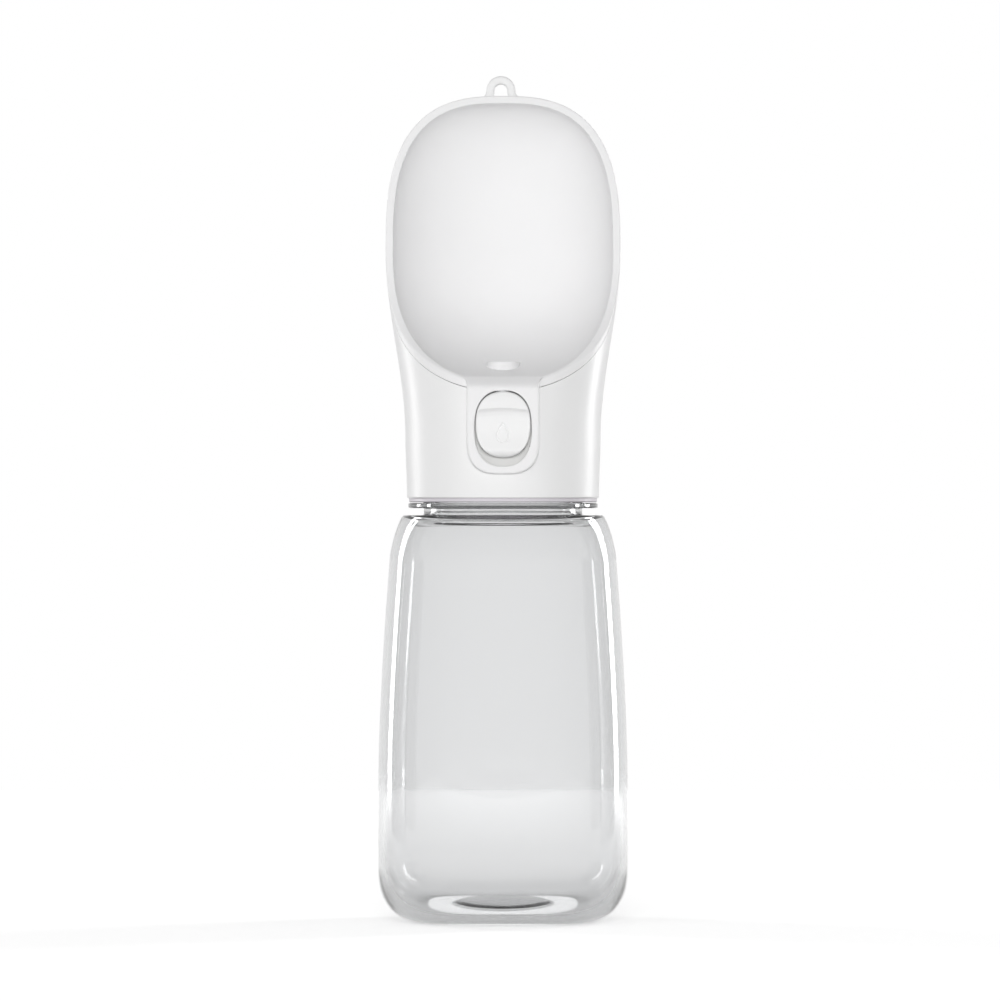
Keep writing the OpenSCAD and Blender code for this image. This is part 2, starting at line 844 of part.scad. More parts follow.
// Return spring: one round wire that winds up from the disc to the plug
spring_len = plug_y - spring_y - touch;
wire_sides = 6;
wire_steps = 14;

function wire_at(t) =
    let(a = 360 * t * spring_turns, r = spring_wire / 2)
    [spring_r * cos(a), spring_y + r + (spring_len - 2 * r) * t, valve_z + spring_r * sin(a)];

function wire_ring(t) =
    let(a = 360 * t * spring_turns, p = wire_at(t), r = spring_wire / 2)
    [for (k = [0 : wire_sides - 1])
        let(b = 360 * k / wire_sides)
        p + r * cos(b) * [cos(a), 0, sin(a)] + r * sin(b) * [0, 1, 0]];

module return_spring() {
    steps = spring_turns * wire_steps;
    color([0.72, 0.73, 0.75])
        skin([for (k = [0 : steps]) wire_ring(k / steps)]);
}

module spring_plug() {
    color([0.9, 0.9, 0.91])
        difference() {
            union() {
                shaft(chamber_r - touch, plug_y, plug_end - plug_y + touch);
                shaft(housing_r, plug_end + touch, flange_end - plug_end);
            }
            difference() {
                shaft(chamber_r + 1, plug_y + 1.2, 1.4);
                shaft(chamber_r - 1.1, plug_y, 4);
            }
        }
}

module plug_o_ring() {
    color([0.2, 0.2, 0.22])
        difference() {
            shaft(chamber_r - touch, plug_y + 1.25, 1.3);
            shaft(chamber_r - 1.05, plug_y, 4);
        }
}

// Key and the frame that it slides on

module press_frame() {
    slot_len = leg_h + lock_travel + 1;
    color([0.82, 0.82, 0.81])
        difference() {
            union() {
                upright(frame_y, frame_t, (frame_z + frame_top) / 2)
                    square([frame_w, frame_top - frame_z], center = true);
                shaft(stem_r + 1.2, hub_y - eps, hub_t);
                for (s = [-1, 1])
                    shaft(pin_r, hub_y - eps, housing_y - hub_y + 3, s * pin_x, pin_z);
            }
            shaft(stem_r + touch, frame_y + 1 - touch, frame_t + hub_t);
            shaft(screw_r - 0.1 + touch, frame_y - 1, 3);
            shaft(2 * screw_r + 0.1, frame_y - 1, 1.6);
            for (s = [-1, 1])
                translate([s * leg_x - leg_t / 2 - 0.3, frame_y - 1, leg_z - lock_travel - 0.5])
                    cube([leg_t + 0.6, frame_t + 2, slot_len]);
        }
}

module frame_screw() {
    color([0.75, 0.76, 0.78])
        difference() {
            union() {
                shaft(2 * screw_r, frame_y + 0.05, 0.5);
                shaft(screw_r - 0.1, frame_y + 0.1, 6.2);
            }
            translate([0, frame_y, valve_z])
                cube([2.4, 0.5, 0.5], center = true);
        }
}

module water_key() {
    mid = (key_z + key_top) / 2;
    chord = 0.64 * (key_top - key_z);
    dish_r = (pow(chord / 2, 2) + pow(key_dish, 2)) / (2 * key_dish);
    dish_z = key_z + 0.09 * (key_top - key_z) + chord / 2;
    color([0.95, 0.95, 0.95])
        difference() {
            union() {
                upright(key_y, key_back - key_y, mid)
                    squircle(key_w, key_top - key_z, 2.3);
                for (s = [-1, 1]) {
                    translate([s * leg_x - leg_t / 2, key_back - 1, leg_z])
                        cube([leg_t, frame_t + frame_gap + 0.3 + hook_t + 1, leg_h]);
                    translate([s > 0 ? leg_x - leg_t / 2 : -leg_x - leg_t / 2 - 0.8, hub_y + 0.3, leg_z])
                        cube([leg_t + 0.8, hook_t, leg_h]);
                }
            }
            translate([-key_w, key_y - dish_r + key_dish, dish_z])
                rotate([0, 90, 0])
                    cylinder(r = dish_r, h = 2 * key_w, $fn = 96);
        }
}

bottle();
neck_seal();
screw_collar();
outer_shell();
scoop();
valve_housing();
inlet_seal();
housing_screws();
outlet_seal();
stem_gland();
stem_o_ring();
valve_stem();
valve_disc();
disc_nut();
return_spring();
spring_plug();
plug_o_ring();
press_frame();
frame_screw();
water_key();
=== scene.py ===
# %% [markdown]
# # Dog travel water bottle
# A clear hand bottle carries a white screw-on head. The head is a tall drinking scoop with a hanging loop,
# and a thumb key on a raised pad opens a spring valve, so that water runs from the tilted bottle into the scoop.
# The engineering model is loaded first as a fixed frame. Each visible piece is then made again with soft edges
# and real finishes, in the same place.

# %% Load the engineering model
import json
import math
import bmesh
import bpy
import numpy as np
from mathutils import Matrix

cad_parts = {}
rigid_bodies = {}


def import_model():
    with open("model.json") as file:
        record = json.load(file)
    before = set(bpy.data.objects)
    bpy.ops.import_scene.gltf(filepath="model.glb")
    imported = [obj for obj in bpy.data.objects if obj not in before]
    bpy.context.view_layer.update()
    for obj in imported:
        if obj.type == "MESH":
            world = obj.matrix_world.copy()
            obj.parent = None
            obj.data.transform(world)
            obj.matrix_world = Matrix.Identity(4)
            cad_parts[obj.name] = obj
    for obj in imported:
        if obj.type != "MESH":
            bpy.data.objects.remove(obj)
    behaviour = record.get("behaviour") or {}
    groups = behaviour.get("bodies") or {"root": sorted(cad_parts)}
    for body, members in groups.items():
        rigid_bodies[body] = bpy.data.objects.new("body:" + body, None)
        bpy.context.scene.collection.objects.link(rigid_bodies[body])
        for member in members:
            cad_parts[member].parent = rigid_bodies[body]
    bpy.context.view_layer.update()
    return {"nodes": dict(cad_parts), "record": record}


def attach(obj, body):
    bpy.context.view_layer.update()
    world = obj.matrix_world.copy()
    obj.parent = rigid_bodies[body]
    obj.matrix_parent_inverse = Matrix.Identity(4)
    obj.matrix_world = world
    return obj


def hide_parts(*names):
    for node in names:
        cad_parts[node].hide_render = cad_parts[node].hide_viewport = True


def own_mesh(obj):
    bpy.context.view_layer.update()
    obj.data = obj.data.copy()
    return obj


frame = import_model()

# %% [markdown]
# ## Units and shapes
# All sizes below are in millimetres, as on a drawing, and Blender gets metres. The object has few plain radii.
# Its corners follow superellipses, which start gently and turn tighter, so two helpers give such a corner and
# such a dome.

# %% Shape helpers
MM = 0.001


def unit(t):
    return np.clip(t, 0.0, 1.0)


def ease(t):
    u = unit(t)
    return u * u * (3 - 2 * u)


def corner(t, n):
    return 1 - (1 - unit(t) ** n) ** (1 / n)


def dome(t, n):
    return (1 - unit(t) ** n) ** (1 / n)


def power(v, p):
    return np.sign(v) * np.abs(v) ** p


def smooth_max(a, b, soft):
    """The larger of two values, rounded off where they are closer than soft."""
    h = np.maximum(soft - np.abs(a - b), 0) / soft
    return np.maximum(a, b) + h * h * soft / 4


print("half of a squarish corner:", round(float(corner(0.5, 2.3)), 3))

# %% [markdown]
# ## From rows of points to a skin
# Most pieces are skins over rows of points. Each row goes once around the piece and has as many points as the
# next, so four neighbours make one face. Where a row shrinks to a point, its doubles are merged.

# %% Mesh helpers
def add_piece(name, mesh):
    piece = bpy.data.objects.new(name, mesh)
    bpy.context.scene.collection.objects.link(piece)
    return piece


def skin(rows, ring=True):
    """Points and faces of a grid. rows is an array of row, point and coordinate."""
    rows = np.asarray(rows, float)
    count, around = rows.shape[:2]
    k = np.arange(count - 1)[:, None] * around
    i = np.arange(around if ring else around - 1)[None, :]
    j = (i + 1) % around
    faces = np.stack([k + i, k + j, k + around + j, k + around + i], -1).reshape(-1, 4)
    return rows.reshape(-1, 3), faces


def make_mesh(name, points, faces):
    mesh = bpy.data.meshes.new(name)
    mesh.from_pydata((np.asarray(points) * MM).tolist(), [], [list(map(int, f)) for f in faces])
    return mesh


def close_mesh(mesh, merge=0.004, sharp=35, solid=True):
    """Merges doubled points, turns the faces of a closed skin outwards and marks the sharp edges."""
    bm = bmesh.new()
    bm.from_mesh(mesh)
    bmesh.ops.remove_doubles(bm, verts=bm.verts, dist=merge * MM)
    bmesh.ops.dissolve_degenerate(bm, edges=bm.edges, dist=0.2 * merge * MM)
    if solid:
        bmesh.ops.recalc_face_normals(bm, faces=bm.faces)
        if bm.calc_volume(signed=True) < 0:
            bmesh.ops.reverse_faces(bm, faces=bm.faces)
    for face in bm.faces:
        face.smooth = True
    for edge in bm.edges:
        edge.smooth = not (len(edge.link_faces) == 2 and edge.calc_face_angle(0) > math.radians(sharp))
    open_edges = sum(1 for edge in bm.edges if len(edge.link_faces) != 2)
    bm.to_mesh(mesh)
    bm.free()
    return open_edges


def apply_modifiers(piece):
    """Turns a piece with live modifiers into a plain mesh."""
    graph = bpy.context.evaluated_depsgraph_get()
    done = bpy.data.meshes.new_from_object(piece.evaluated_get(graph))
    piece.modifiers.clear()
    piece.data = done
    return piece


def box_of(piece):
    points = np.array([v.co for v in piece.data.vertices]) / MM
    return points.min(0).round(2).tolist(), points.max(0).round(2).tolist()


print("mesh helpers ready")

# %% [markdown]
# ## Numbers inside a node tree
# Geometry Nodes work with sockets. This small class lets a formula in a tree read like plain arithmetic,
# because each operation adds one Math node.

# %% Formula helper for Geometry Nodes
class Field:
    def __init__(self, tree, socket):
        self.tree, self.socket = tree, socket

    def math(self, operation, *others):
        node = self.tree.nodes.new("ShaderNodeMath")
        node.operation = operation
        for k, value in enumerate((self,) + others):
            if isinstance(value, Field):
                self.tree.links.new(value.socket, node.inputs[k])
            else:
                node.inputs[k].default_value = value
        return Field(self.tree, node.outputs[0])

    def __add__(self, other): return self.math("ADD", other)
    def __sub__(self, other): return self.math("SUBTRACT", other)
    def __mul__(self, other): return self.math("MULTIPLY", other)
    def __truediv__(self, other): return self.math("DIVIDE", other)
    def floor(self): return self.math("FLOOR")
    def part(self): return self.math("FRACT")
    def size(self): return self.math("ABSOLUTE")
    def sign(self): return self.math("SIGN")
    def sin(self): return self.math("SINE")
    def cos(self): return self.math("COSINE")
    def to(self, exponent): return self.math("POWER", exponent)
    def least(self, other): return self.math("MINIMUM", other)
    def most(self, other): return self.math("MAXIMUM", other)


class Tree:
    """A Geometry Nodes tree with named inputs."""

    def __init__(self, name, sizes):
        self.tree = bpy.data.node_groups.new(name, "GeometryNodeTree")
        self.tree.interface.new_socket("Geometry", in_out="INPUT", socket_type="NodeSocketGeometry")
        self.names = {}
        for label, value in sizes.items():
            kind = "NodeSocketInt" if isinstance(value, int) else "NodeSocketFloat"
            item = self.tree.interface.new_socket(label, in_out="INPUT", socket_type=kind)
            item.default_value = value
            self.names[label] = item.identifier
        self.tree.interface.new_socket("Geometry", in_out="OUTPUT", socket_type="NodeSocketGeometry")
        self.start = self.tree.nodes.new("NodeGroupInput")
        self.end = self.tree.nodes.new("NodeGroupOutput")
        self.sizes = sizes

    def node(self, kind, **settings):
        node = self.tree.nodes.new(kind)
        for key, value in settings.items():
            setattr(node, key, value)
        return node

    def link(self, source, target):
        self.tree.links.new(source.socket if isinstance(source, Field) else source, target)

    def value(self, label):
        return Field(self.tree, self.start.outputs[label])

    def field(self, socket):
        return Field(self.tree, socket)

    def finish(self, geometry, material):
        """Realises what the tree made and gives it a material."""
        real = self.node("GeometryNodeRealizeInstances")
        paint = self.node("GeometryNodeSetMaterial")
        paint.inputs["Material"].default_value = material
        self.link(geometry, real.inputs["Geometry"])
        self.link(real.outputs["Geometry"], paint.inputs["Geometry"])
        self.link(paint.outputs["Geometry"], self.end.inputs["Geometry"])

    def run(self, piece, **values):
        """Evaluates the tree on a piece and leaves a plain mesh."""
        modifier = piece.modifiers.new("made by nodes", "NODES")
        modifier.node_group = self.tree
        for label, value in self.sizes.items():
            modifier[self.names[label]] = values.get(label, value)
        return apply_modifiers(piece)


print("formula helper ready")

# %% [markdown]
# ## Camera
# The photograph is a straight front view from the height of the head's collar, taken with a long lens. One
# picture is 289 mm wide at the object's middle, so lens and distance follow from each other.

# %% Camera
picture_w = 289.16
lens_mm = 250.0
stand_off = lens_mm / 36 * picture_w
camera_data = bpy.data.cameras.new("camera")
camera_data.lens = lens_mm
camera_data.sensor_width = 36
camera_data.clip_end = 50
camera = bpy.data.objects.new("camera", camera_data)
camera.location = (-0.87 * MM, -stand_off * MM, 121.74 * MM)
camera.rotation_euler = (math.radians(90), 0, 0)
bpy.context.scene.collection.objects.link(camera)
bpy.context.scene.camera = camera
bpy.context.scene.view_settings.view_transform = "Standard"
print("camera stands", round(stand_off), "mm in front")

# %% [markdown]
# ## Finishes
# The head is moulded in white plastic with a fine satin skin: light sinks in a little, the gloss is soft, and
# a faint grain breaks it up. One function makes every moulded plastic, with its own colour, gloss and grain.

# %% Moulded plastics
finishes = {}


def new_material(name):
    finishes[name] = material = bpy.data.materials.new(name)
    material.use_nodes = True
    return material, material.node_tree, material.node_tree.nodes["Principled BSDF"]


def set_inputs(node, values):
    for label, value in values.items():
        node.inputs[label].default_value = value


def add_noise(tree, scale, detail=3.0, roughness=0.5):
    place = tree.nodes.new("ShaderNodeTexCoord")
    noise = tree.nodes.new("ShaderNodeTexNoise")
    set_inputs(noise, {"Scale": scale, "Detail": detail, "Roughness": roughness})
    tree.links.new(place.outputs["Object"], noise.inputs["Vector"])
    return noise


def map_range(tree, socket, low, high, start=0.3, stop=0.7):
    node = tree.nodes.new("ShaderNodeMapRange")
    set_inputs(node, {"From Min": start, "From Max": stop, "To Min": low, "To Max": high})
    tree.links.new(socket, node.inputs["Value"])
    return node.outputs["Result"]


def add_bump(tree, shader, height, strength, distance_mm):
    bump = tree.nodes.new("ShaderNodeBump")
    set_inputs(bump, {"Strength": strength, "Distance": distance_mm * MM})
    tree.links.new(height, bump.inputs["Height"])
    tree.links.new(bump.outputs["Normal"], shader.inputs["Normal"])


def two_tone(tree, shader, socket, colour, spread):
    mix = tree.nodes.new("ShaderNodeMix")
    mix.data_type = "RGBA"
    mix.inputs[6].default_value = tuple(c * (1 - spread) for c in colour) + (1,)
    mix.inputs[7].default_value = tuple(min(1, c * (1 + spread)) for c in colour) + (1,)
    tree.links.new(socket, mix.inputs[0])
    tree.links.new(mix.outputs[2], shader.inputs["Base Color"])


def moulded(name, colour, gloss=0.35, grain_mm=0.35, depth_mm=0.012, spread=0.006):
    """Moulded plastic: cloudy colour, a satin gloss that varies a little, and the mould's fine grain."""
    material, tree, shader = new_material(name)
    cloud = add_noise(tree, 45.0)
    grain = add_noise(tree, 1 / (grain_mm * MM) / 2, 2.0)
    two_tone(tree, shader, map_range(tree, cloud.outputs["Fac"], 0, 1), colour, spread)
    tree.links.new(map_range(tree, cloud.outputs["Fac"], gloss - 0.03, gloss + 0.03), shader.inputs["Roughness"])
    add_bump(tree, shader, grain.outputs["Fac"], 0.35, depth_mm)
    shader.inputs["IOR"].default_value = 1.46
    return material


moulded("shell_white", (0.86, 0.86, 0.86), 0.34)
moulded("scoop_white", (0.85, 0.848, 0.852), 0.38)
moulded("key_white", (0.87, 0.87, 0.87), 0.32, 0.3)
moulded("collar_plastic", (0.66, 0.63, 0.67), 0.4)
moulded("frame_plastic", (0.72, 0.72, 0.71), 0.45)
moulded("valve_plastic", (0.74, 0.74, 0.75), 0.4, 0.4)
print("moulded plastics:", 6)

# %% [markdown]
# Seals are matt and slightly soft, screws and the spring are drawn steel with lengthwise streaks. Each gets a
# recipe of its own.

# %% Rubber, silicone and steel
def rubbery(name, colour, rough, spread=0.05):
    material, tree, shader = new_material(name)
    dust = add_noise(tree, 260.0, 4.0)
    skin_noise = add_noise(tree, 1500.0, 2.0)
    two_tone(tree, shader, map_range(tree, dust.outputs["Fac"], 0, 1), colour, spread)
    tree.links.new(map_range(tree, dust.outputs["Fac"], rough - 0.06, rough + 0.06), shader.inputs["Roughness"])
    add_bump(tree, shader, skin_noise.outputs["Fac"], 0.3, 0.02)
    shader.inputs["Sheen Weight"].default_value = 0.08
    return material


def steel(name, colour, rough, streak_scale):
    material, tree, shader = new_material(name)
    streaks = add_noise(tree, streak_scale, 3.0)
    two_tone(tree, shader, map_range(tree, streaks.outputs["Fac"], 0, 1), colour, 0.08)
    tree.links.new(map_range(tree, streaks.outputs["Fac"], rough - 0.08, rough + 0.08), shader.inputs["Roughness"])
    add_bump(tree, shader, streaks.outputs["Fac"], 0.15, 0.01)
    shader.inputs["Metallic"].default_value = 1.0
    return material


rubbery("pale_silicone", (0.78, 0.78, 0.76), 0.55, 0.02)
rubbery("dark_rubber", (0.06, 0.062, 0.065), 0.6)
steel("screw_steel", (0.62, 0.63, 0.64), 0.3, 900.0)
steel("spring_steel", (0.58, 0.585, 0.6), 0.25, 1400.0)
print("seals and metals:", 4)

# %% [markdown]
# The bottle is a thick clear plastic. It is solid glass to the ray tracer, and the plastic itself swallows a
# little light along the way, which is what draws the grey middle and the dark lines at its edges. That needs a
# Volume Absorption shader beside the surface one, and true walls with an inside and an outside.

# %% Clear plastic
def clear(name, swallow_per_m):
    material, tree, shader = new_material(name)
    ripple = add_noise(tree, 60.0, 2.0)
    set_inputs(shader, {"Base Color": (0.985, 0.987, 0.99, 1), "Transmission Weight": 1.0, "IOR": 1.49})
    tree.links.new(map_range(tree, ripple.outputs["Fac"], 0.0, 0.03), shader.inputs["Roughness"])
    add_bump(tree, shader, ripple.outputs["Fac"], 0.12, 0.05)
    absorb = tree.nodes.new("ShaderNodeVolumeAbsorption")
    set_inputs(absorb, {"Color": (0.0, 0.012, 0.02, 1), "Density": swallow_per_m})
    tree.links.new(absorb.outputs["Volume"], tree.nodes["Material Output"].inputs["Volume"])
    return material


bottle_swallow = 71.5
clear("clear_plastic", bottle_swallow)
print("finishes:", sorted(finishes))

# %% [markdown]
# ## Every engineering node gets its finish
# The valve and the other small parts keep their engineering shape. Their material slots are refilled with the
# finish that the record names for them.

# %% Paint the engineering nodes
parts = frame["record"]["subparts"]
for part in parts:
    mesh = frame["nodes"][part["node"]].data
    mesh.materials.clear()
    mesh.materials.append(finishes[part["material_slot"]])
print("painted", len(parts), "nodes")


def dress(piece, body, slot, *replaced):
    """Gives a finished piece the finish that a record slot names, puts it on its body and hides the nodes it stands
    for.
    """
    piece.data.materials.clear()
    piece.data.materials.append(finishes[slot])
    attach(piece, body)
    if replaced:
        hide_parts(*replaced)
    low, high = box_of(piece)
    print(piece.name, len(piece.data.polygons), "faces", low, high)


# %% [markdown]
# ## The bottle
# A blown or moulded bottle is one skin: up the outside, over the mouth and down the inside. Each level is a
# squarish ring on the body and a circle at the neck. So the piece follows a rule, and Geometry Nodes make it:
# a plain mesh lists one point per level, holding half width, half depth and height, and the tree winds a ring
# around each of them. A second rule raises the two screw ribs on the neck.

# %% Bottle sizes
bottle_w, bottle_d, bottle_h = 72.0, 68.0, 117.4
square = 2.8
waist_z, side_lean = 43.0, 4.3
foot_w, foot_h = 13.5, 15.0
shoulder_w, shoulder_h = 3.0, 12.0
wall, floor_t, shoulder_t = 1.9, 2.3, 1.5
punt_r, punt_h = 14.0, 2.2
neck_r, bore_r, neck_top = 22.9, 20.8, 127.6
flange_z, flange_top, flange_r = 119.4, 120.9, 27.4
thread_start, thread_lead, thread_height, thread_turns = 122.22, 6.0, 1.3, 0.72


def bottle_half(z):
    z = np.asarray(z, float)
    lean = side_lean * np.maximum(0, (z - waist_z) / (bottle_h - waist_z)) ** 1.5
    shoulder = shoulder_w * corner((z - bottle_h + shoulder_h) / shoulder_h, 1.5)
    foot = foot_w * corner((foot_h - z) / foot_h, 2.3)
    return bottle_w / 2 - lean - shoulder - foot


turn = np.linspace(math.pi / 2, 0, 22)
foot_levels = foot_h * (1 - np.sin(turn) ** (2 / 2.3))
side_levels = np.linspace(foot_h, bottle_h - shoulder_h, 32)[1:-1]
shoulder_levels = bottle_h - shoulder_h + shoulder_h * np.sin(turn[::-1]) ** (2 / 1.5)
body_levels = np.concatenate([foot_levels, side_levels, shoulder_levels])
print("levels on the body:", len(body_levels), "half width at the waist:", float(bottle_half(waist_z)))

# %% [markdown]
# The profile is a list of rings, from the hollow under the base to the hollow in the floor inside. A ring
# is two half widths, a height, how square it is and whether ribs rise on it. Short arcs round off each edge.

# %% Bottle profile
flat = bottle_w / 2 - bottle_d / 2


def arc(x, z, r, start, stop, steps=5):
    """Points of a round from one angle to another, in degrees."""
    return [(x + r * math.cos(math.radians(a)), z + r * math.sin(math.radians(a)))
            for a in np.linspace(start, stop, steps)]


def round_rows(points, rib=0.0):
    return [(x, x, z, 2.0, rib) for x, z in points]


def body_rows(inset, low, high):
    return [(h - inset, h - inset - flat, low + (high - low) * z / bottle_h, square, 0.0)
            for z, h in zip(body_levels, bottle_half(body_levels))]


def blend_rows(first, last, steps):
    """Rows between a round and a squarish ring on the same flat."""
    return [tuple(a + (b - a) * t for a, b in zip(first, last)) for t in np.linspace(0, 1, steps + 2)[1:-1]]


punt = [(punt_r * math.sin(a), punt_h * math.cos(a)) for a in np.linspace(0, math.radians(82), 12)]
rows = round_rows(punt + [(14.08, 0.1), (14.4, 0.015), (15.2, 0.0)])
outside = body_rows(0, 0, bottle_h)
rows += blend_rows(rows[-1], outside[0], 3) + outside
foot_soft, flange_soft, ring_soft = 0.6, 0.4, 0.25
rows += blend_rows(outside[-1], (neck_r + 0.8, neck_r + 0.8, bottle_h, 2.0, 0.0), 4)
rows += round_rows(arc(neck_r + foot_soft, bottle_h + foot_soft, foot_soft, -90, -180))
rows += round_rows([(neck_r, flange_z - 0.3)] + arc(neck_r + ring_soft, flange_z - ring_soft, ring_soft, 180, 90, 3)
                   + arc(flange_r - flange_soft, flange_z + flange_soft, flange_soft, -90, 0)
                   + arc(flange_r - flange_soft, flange_top - flange_soft, flange_soft, 0, 90)
                   + [(neck_r + 0.2, flange_top)])
rows += round_rows([(neck_r, z) for z in np.arange(121.05, 127.0, 0.16)], 1.0)
rows += round_rows(arc(neck_r - 0.7, neck_top - 0.65, 0.65, 0, 90)
                   + arc(bore_r + 0.5, neck_top - 0.5, 0.5, 90, 180))
inside = body_rows(wall, floor_t, bottle_h - shoulder_t)
inner_top = bottle_h - shoulder_t
rows += round_rows([(bore_r, z) for z in np.linspace(126, 117.2, 8)]
                   + arc(bore_r + 0.7, inner_top + 0.7, 0.7, 180, 270))
rows += blend_rows(rows[-1], inside[-1], 4) + inside[::-1]
hump = [(x, z + floor_t) for x, z in punt[::-1]]
rows += blend_rows(inside[0], (15.4, 15.4, floor_t, 2.0, 0.0), 3)
rows += round_rows([(15.4, 2.3), (14.5, 2.32), (14.1, 2.42)] + hump)
profile = np.array(rows)
print("rows in the profile:", len(profile))

# %% [markdown]
# The tree makes a grid with one row of points per ring. Row and column numbers give each point its ring and its
# angle, and a superellipse turns the two into a place. The ribs are a formula of angle and height.

# %% Bottle tree
ring = Tree("rings_around_a_profile", {
    "Points around": 200, "Rib height": thread_height * MM, "Rib start": thread_start * MM,
    "Rib lead": thread_lead * MM, "Rib turns": thread_turns,
})
count = ring.node("GeometryNodeAttributeDomainSize", component="MESH")
ring.link(ring.start.outputs["Geometry"], count.inputs["Geometry"])
around = ring.value("Points around")
grid = ring.node("GeometryNodeMeshGrid")
ring.link(count.outputs["Point Count"], grid.inputs["Vertices X"])
ring.link(around + 1.0, grid.inputs["Vertices Y"])
index = ring.field(ring.node("GeometryNodeInputIndex").outputs["Index"])
row = ((index + 0.5) / (around + 1.0)).floor()
column = index - row * (around + 1.0)
angle = column / around * math.tau


def from_profile(socket, kind):
    sample = ring.node("GeometryNodeSampleIndex", data_type=kind, domain="POINT")
    ring.link(ring.start.outputs["Geometry"], sample.inputs["Geometry"])
    ring.link(socket, sample.inputs["Value"])
    ring.link(row, sample.inputs["Index"])
    return sample.outputs["Value"]


def stored(label):
    node = ring.node("GeometryNodeInputNamedAttribute", data_type="FLOAT")
    node.inputs["Name"].default_value = label
    return ring.field(from_profile(node.outputs["Attribute"], "FLOAT"))


split = ring.node("ShaderNodeSeparateXYZ")
ring.link(from_profile(ring.node("GeometryNodeInputPosition").outputs["Position"], "FLOAT_VECTOR"),
          split.inputs[0])
half_x, half_y, level = (ring.field(split.outputs[k]) for k in range(3))
bend, ribbed = stored("bend"), stored("ribbed")


def rib(start_share):
    """Height of one screw rib, from 0 to 1: sloping flanks and ends that fade out."""
    turns = (angle / math.tau - start_share).part()
    away = (level - ring.value("Rib start") - ring.value("Rib lead") * turns).size() / MM
    flank = ((away * -1.0 + 0.86) / 0.42).most(0.0).least(1.0)
    ends = (turns * 14.0).least(1.0) * ((ring.value("Rib turns") - turns) * 14.0).most(0.0).least(1.0)
    return flank * ends


lift = rib(0.0).most(rib(0.5)) * ribbed * ring.value("Rib height")
fullness = bend.to(-1.0) * 2.0
x = angle.cos().sign() * angle.cos().size().to(fullness)
y = angle.sin().sign() * angle.sin().size().to(fullness)
place = ring.node("ShaderNodeCombineXYZ")
ring.link(x * (half_x + lift), place.inputs[0])
ring.link(y * (half_y + lift), place.inputs[1])
ring.link(level, place.inputs[2])
move = ring.node("GeometryNodeSetPosition")
ring.link(grid.outputs["Mesh"], move.inputs["Geometry"])
ring.link(place.outputs[0], move.inputs["Position"])
weld = ring.node("GeometryNodeMergeByDistance")
weld.inputs["Distance"].default_value = 0.004 * MM
ring.link(move.outputs["Geometry"], weld.inputs["Geometry"])
ring.finish(weld.outputs["Geometry"], finishes["clear_plastic"])
print("nodes in the bottle's tree:", len(ring.tree.nodes))

# %% [markdown]
# The profile goes into Blender as a chain of points with two named attributes, and the tree reads them back.
# What comes out is turned into a plain mesh, so that nothing is worked out again later.

# %% Wind the bottle
profile_mesh = bpy.data.meshes.new("bottle_profile")
profile_mesh.from_pydata((profile[:, :3] * MM).tolist(), [(k, k + 1) for k in range(len(profile) - 1)], [])
for label, values in (("bend", profile[:, 3]), ("ribbed", profile[:, 4])):
    profile_mesh.attributes.new(label, "FLOAT", "POINT").data.foreach_set("value", values.astype(np.float32))
clear_bottle = ring.run(add_piece("clear_bottle", profile_mesh))
print("open edges:", close_mesh(clear_bottle.data, sharp=60))
dress(clear_bottle, "bottle", "clear_plastic", "bottle")

# %% [markdown]
# ## The head's outline
# Shell and scoop share one outline: a round skirt that widens into a flat oval, closed by a dome. The scoop's
# rim cuts through it along a curve that sweeps back from the lip and then stands up. All later pieces ask
# these functions where the surface is.

# %% Head outline
head_r, head_w = 27.75, 68.0
shell_z, lip_z, bend_z, wide_z, crown_z = 122.3, 155.0, 175.0, 194.0, 238.8
skirt_h, flare, skirt_r = 32.7, 0.5, 28.25
crown_d, rim_lean, rim_w, rim_t = 6.0, 3.0, 2.2, 2.0
scoop_drop, scoop_rise = 39.0, 44.8
bowl_wall, bowl_deep, floor_slope, rim_start = 1.4, 21.0, math.tan(math.radians(10)), 0.6


def head_front(z):
    return head_r + flare * ease((z - shell_z) / (0.45 * skirt_h + 3))


def head_half(z):
    low = head_front(z) + (head_w / 2 - skirt_r) * ease(
        (z - shell_z - 0.55 * skirt_h) / (wide_z - shell_z - 0.55 * skirt_h))
    return np.where(z > wide_z, head_w / 2 * dome((z - wide_z) / scoop_rise, 2.8), low)


def head_back(z):
    high = crown_d + (skirt_r - crown_d) * dome((z - bend_z) / (crown_z - bend_z), 2.4)
    return np.where(z > bend_z, high, head_front(z))


def rim_y(z):
    low = -skirt_r * np.maximum(1 - (z - lip_z) / scoop_drop, 0) ** 2
    return np.where(z < wide_z, low, rim_lean * ((z - wide_z) / scoop_rise) ** 2)


rim_levels = np.linspace(lip_z - 9, crown_z + 6, 4000)
rim_slopes = np.gradient(rim_y(rim_levels), rim_levels)


def rim_behind(z, back):
    """Depth of the rim's curve after it is moved back by a distance, at right angles to itself."""
    length = np.sqrt(1 + rim_slopes ** 2)
    return np.interp(z, rim_levels - back * rim_slopes / length, rim_y(rim_levels) + back / length)


print("rim leans from", float(rim_y(lip_z)), "to", float(rim_y(crown_z)))

# %% [markdown]
# ## The outer shell
# The shell is the skirt and the back of the head. Its outline is cut by the rim's curve, so each level above
# the lip is an arc and each level below it a full ring. The arcs end exactly on the cut, which gives a clean
# edge. The lowest rows turn in a little for a soft foot, and Solidify adds the wall inwards.

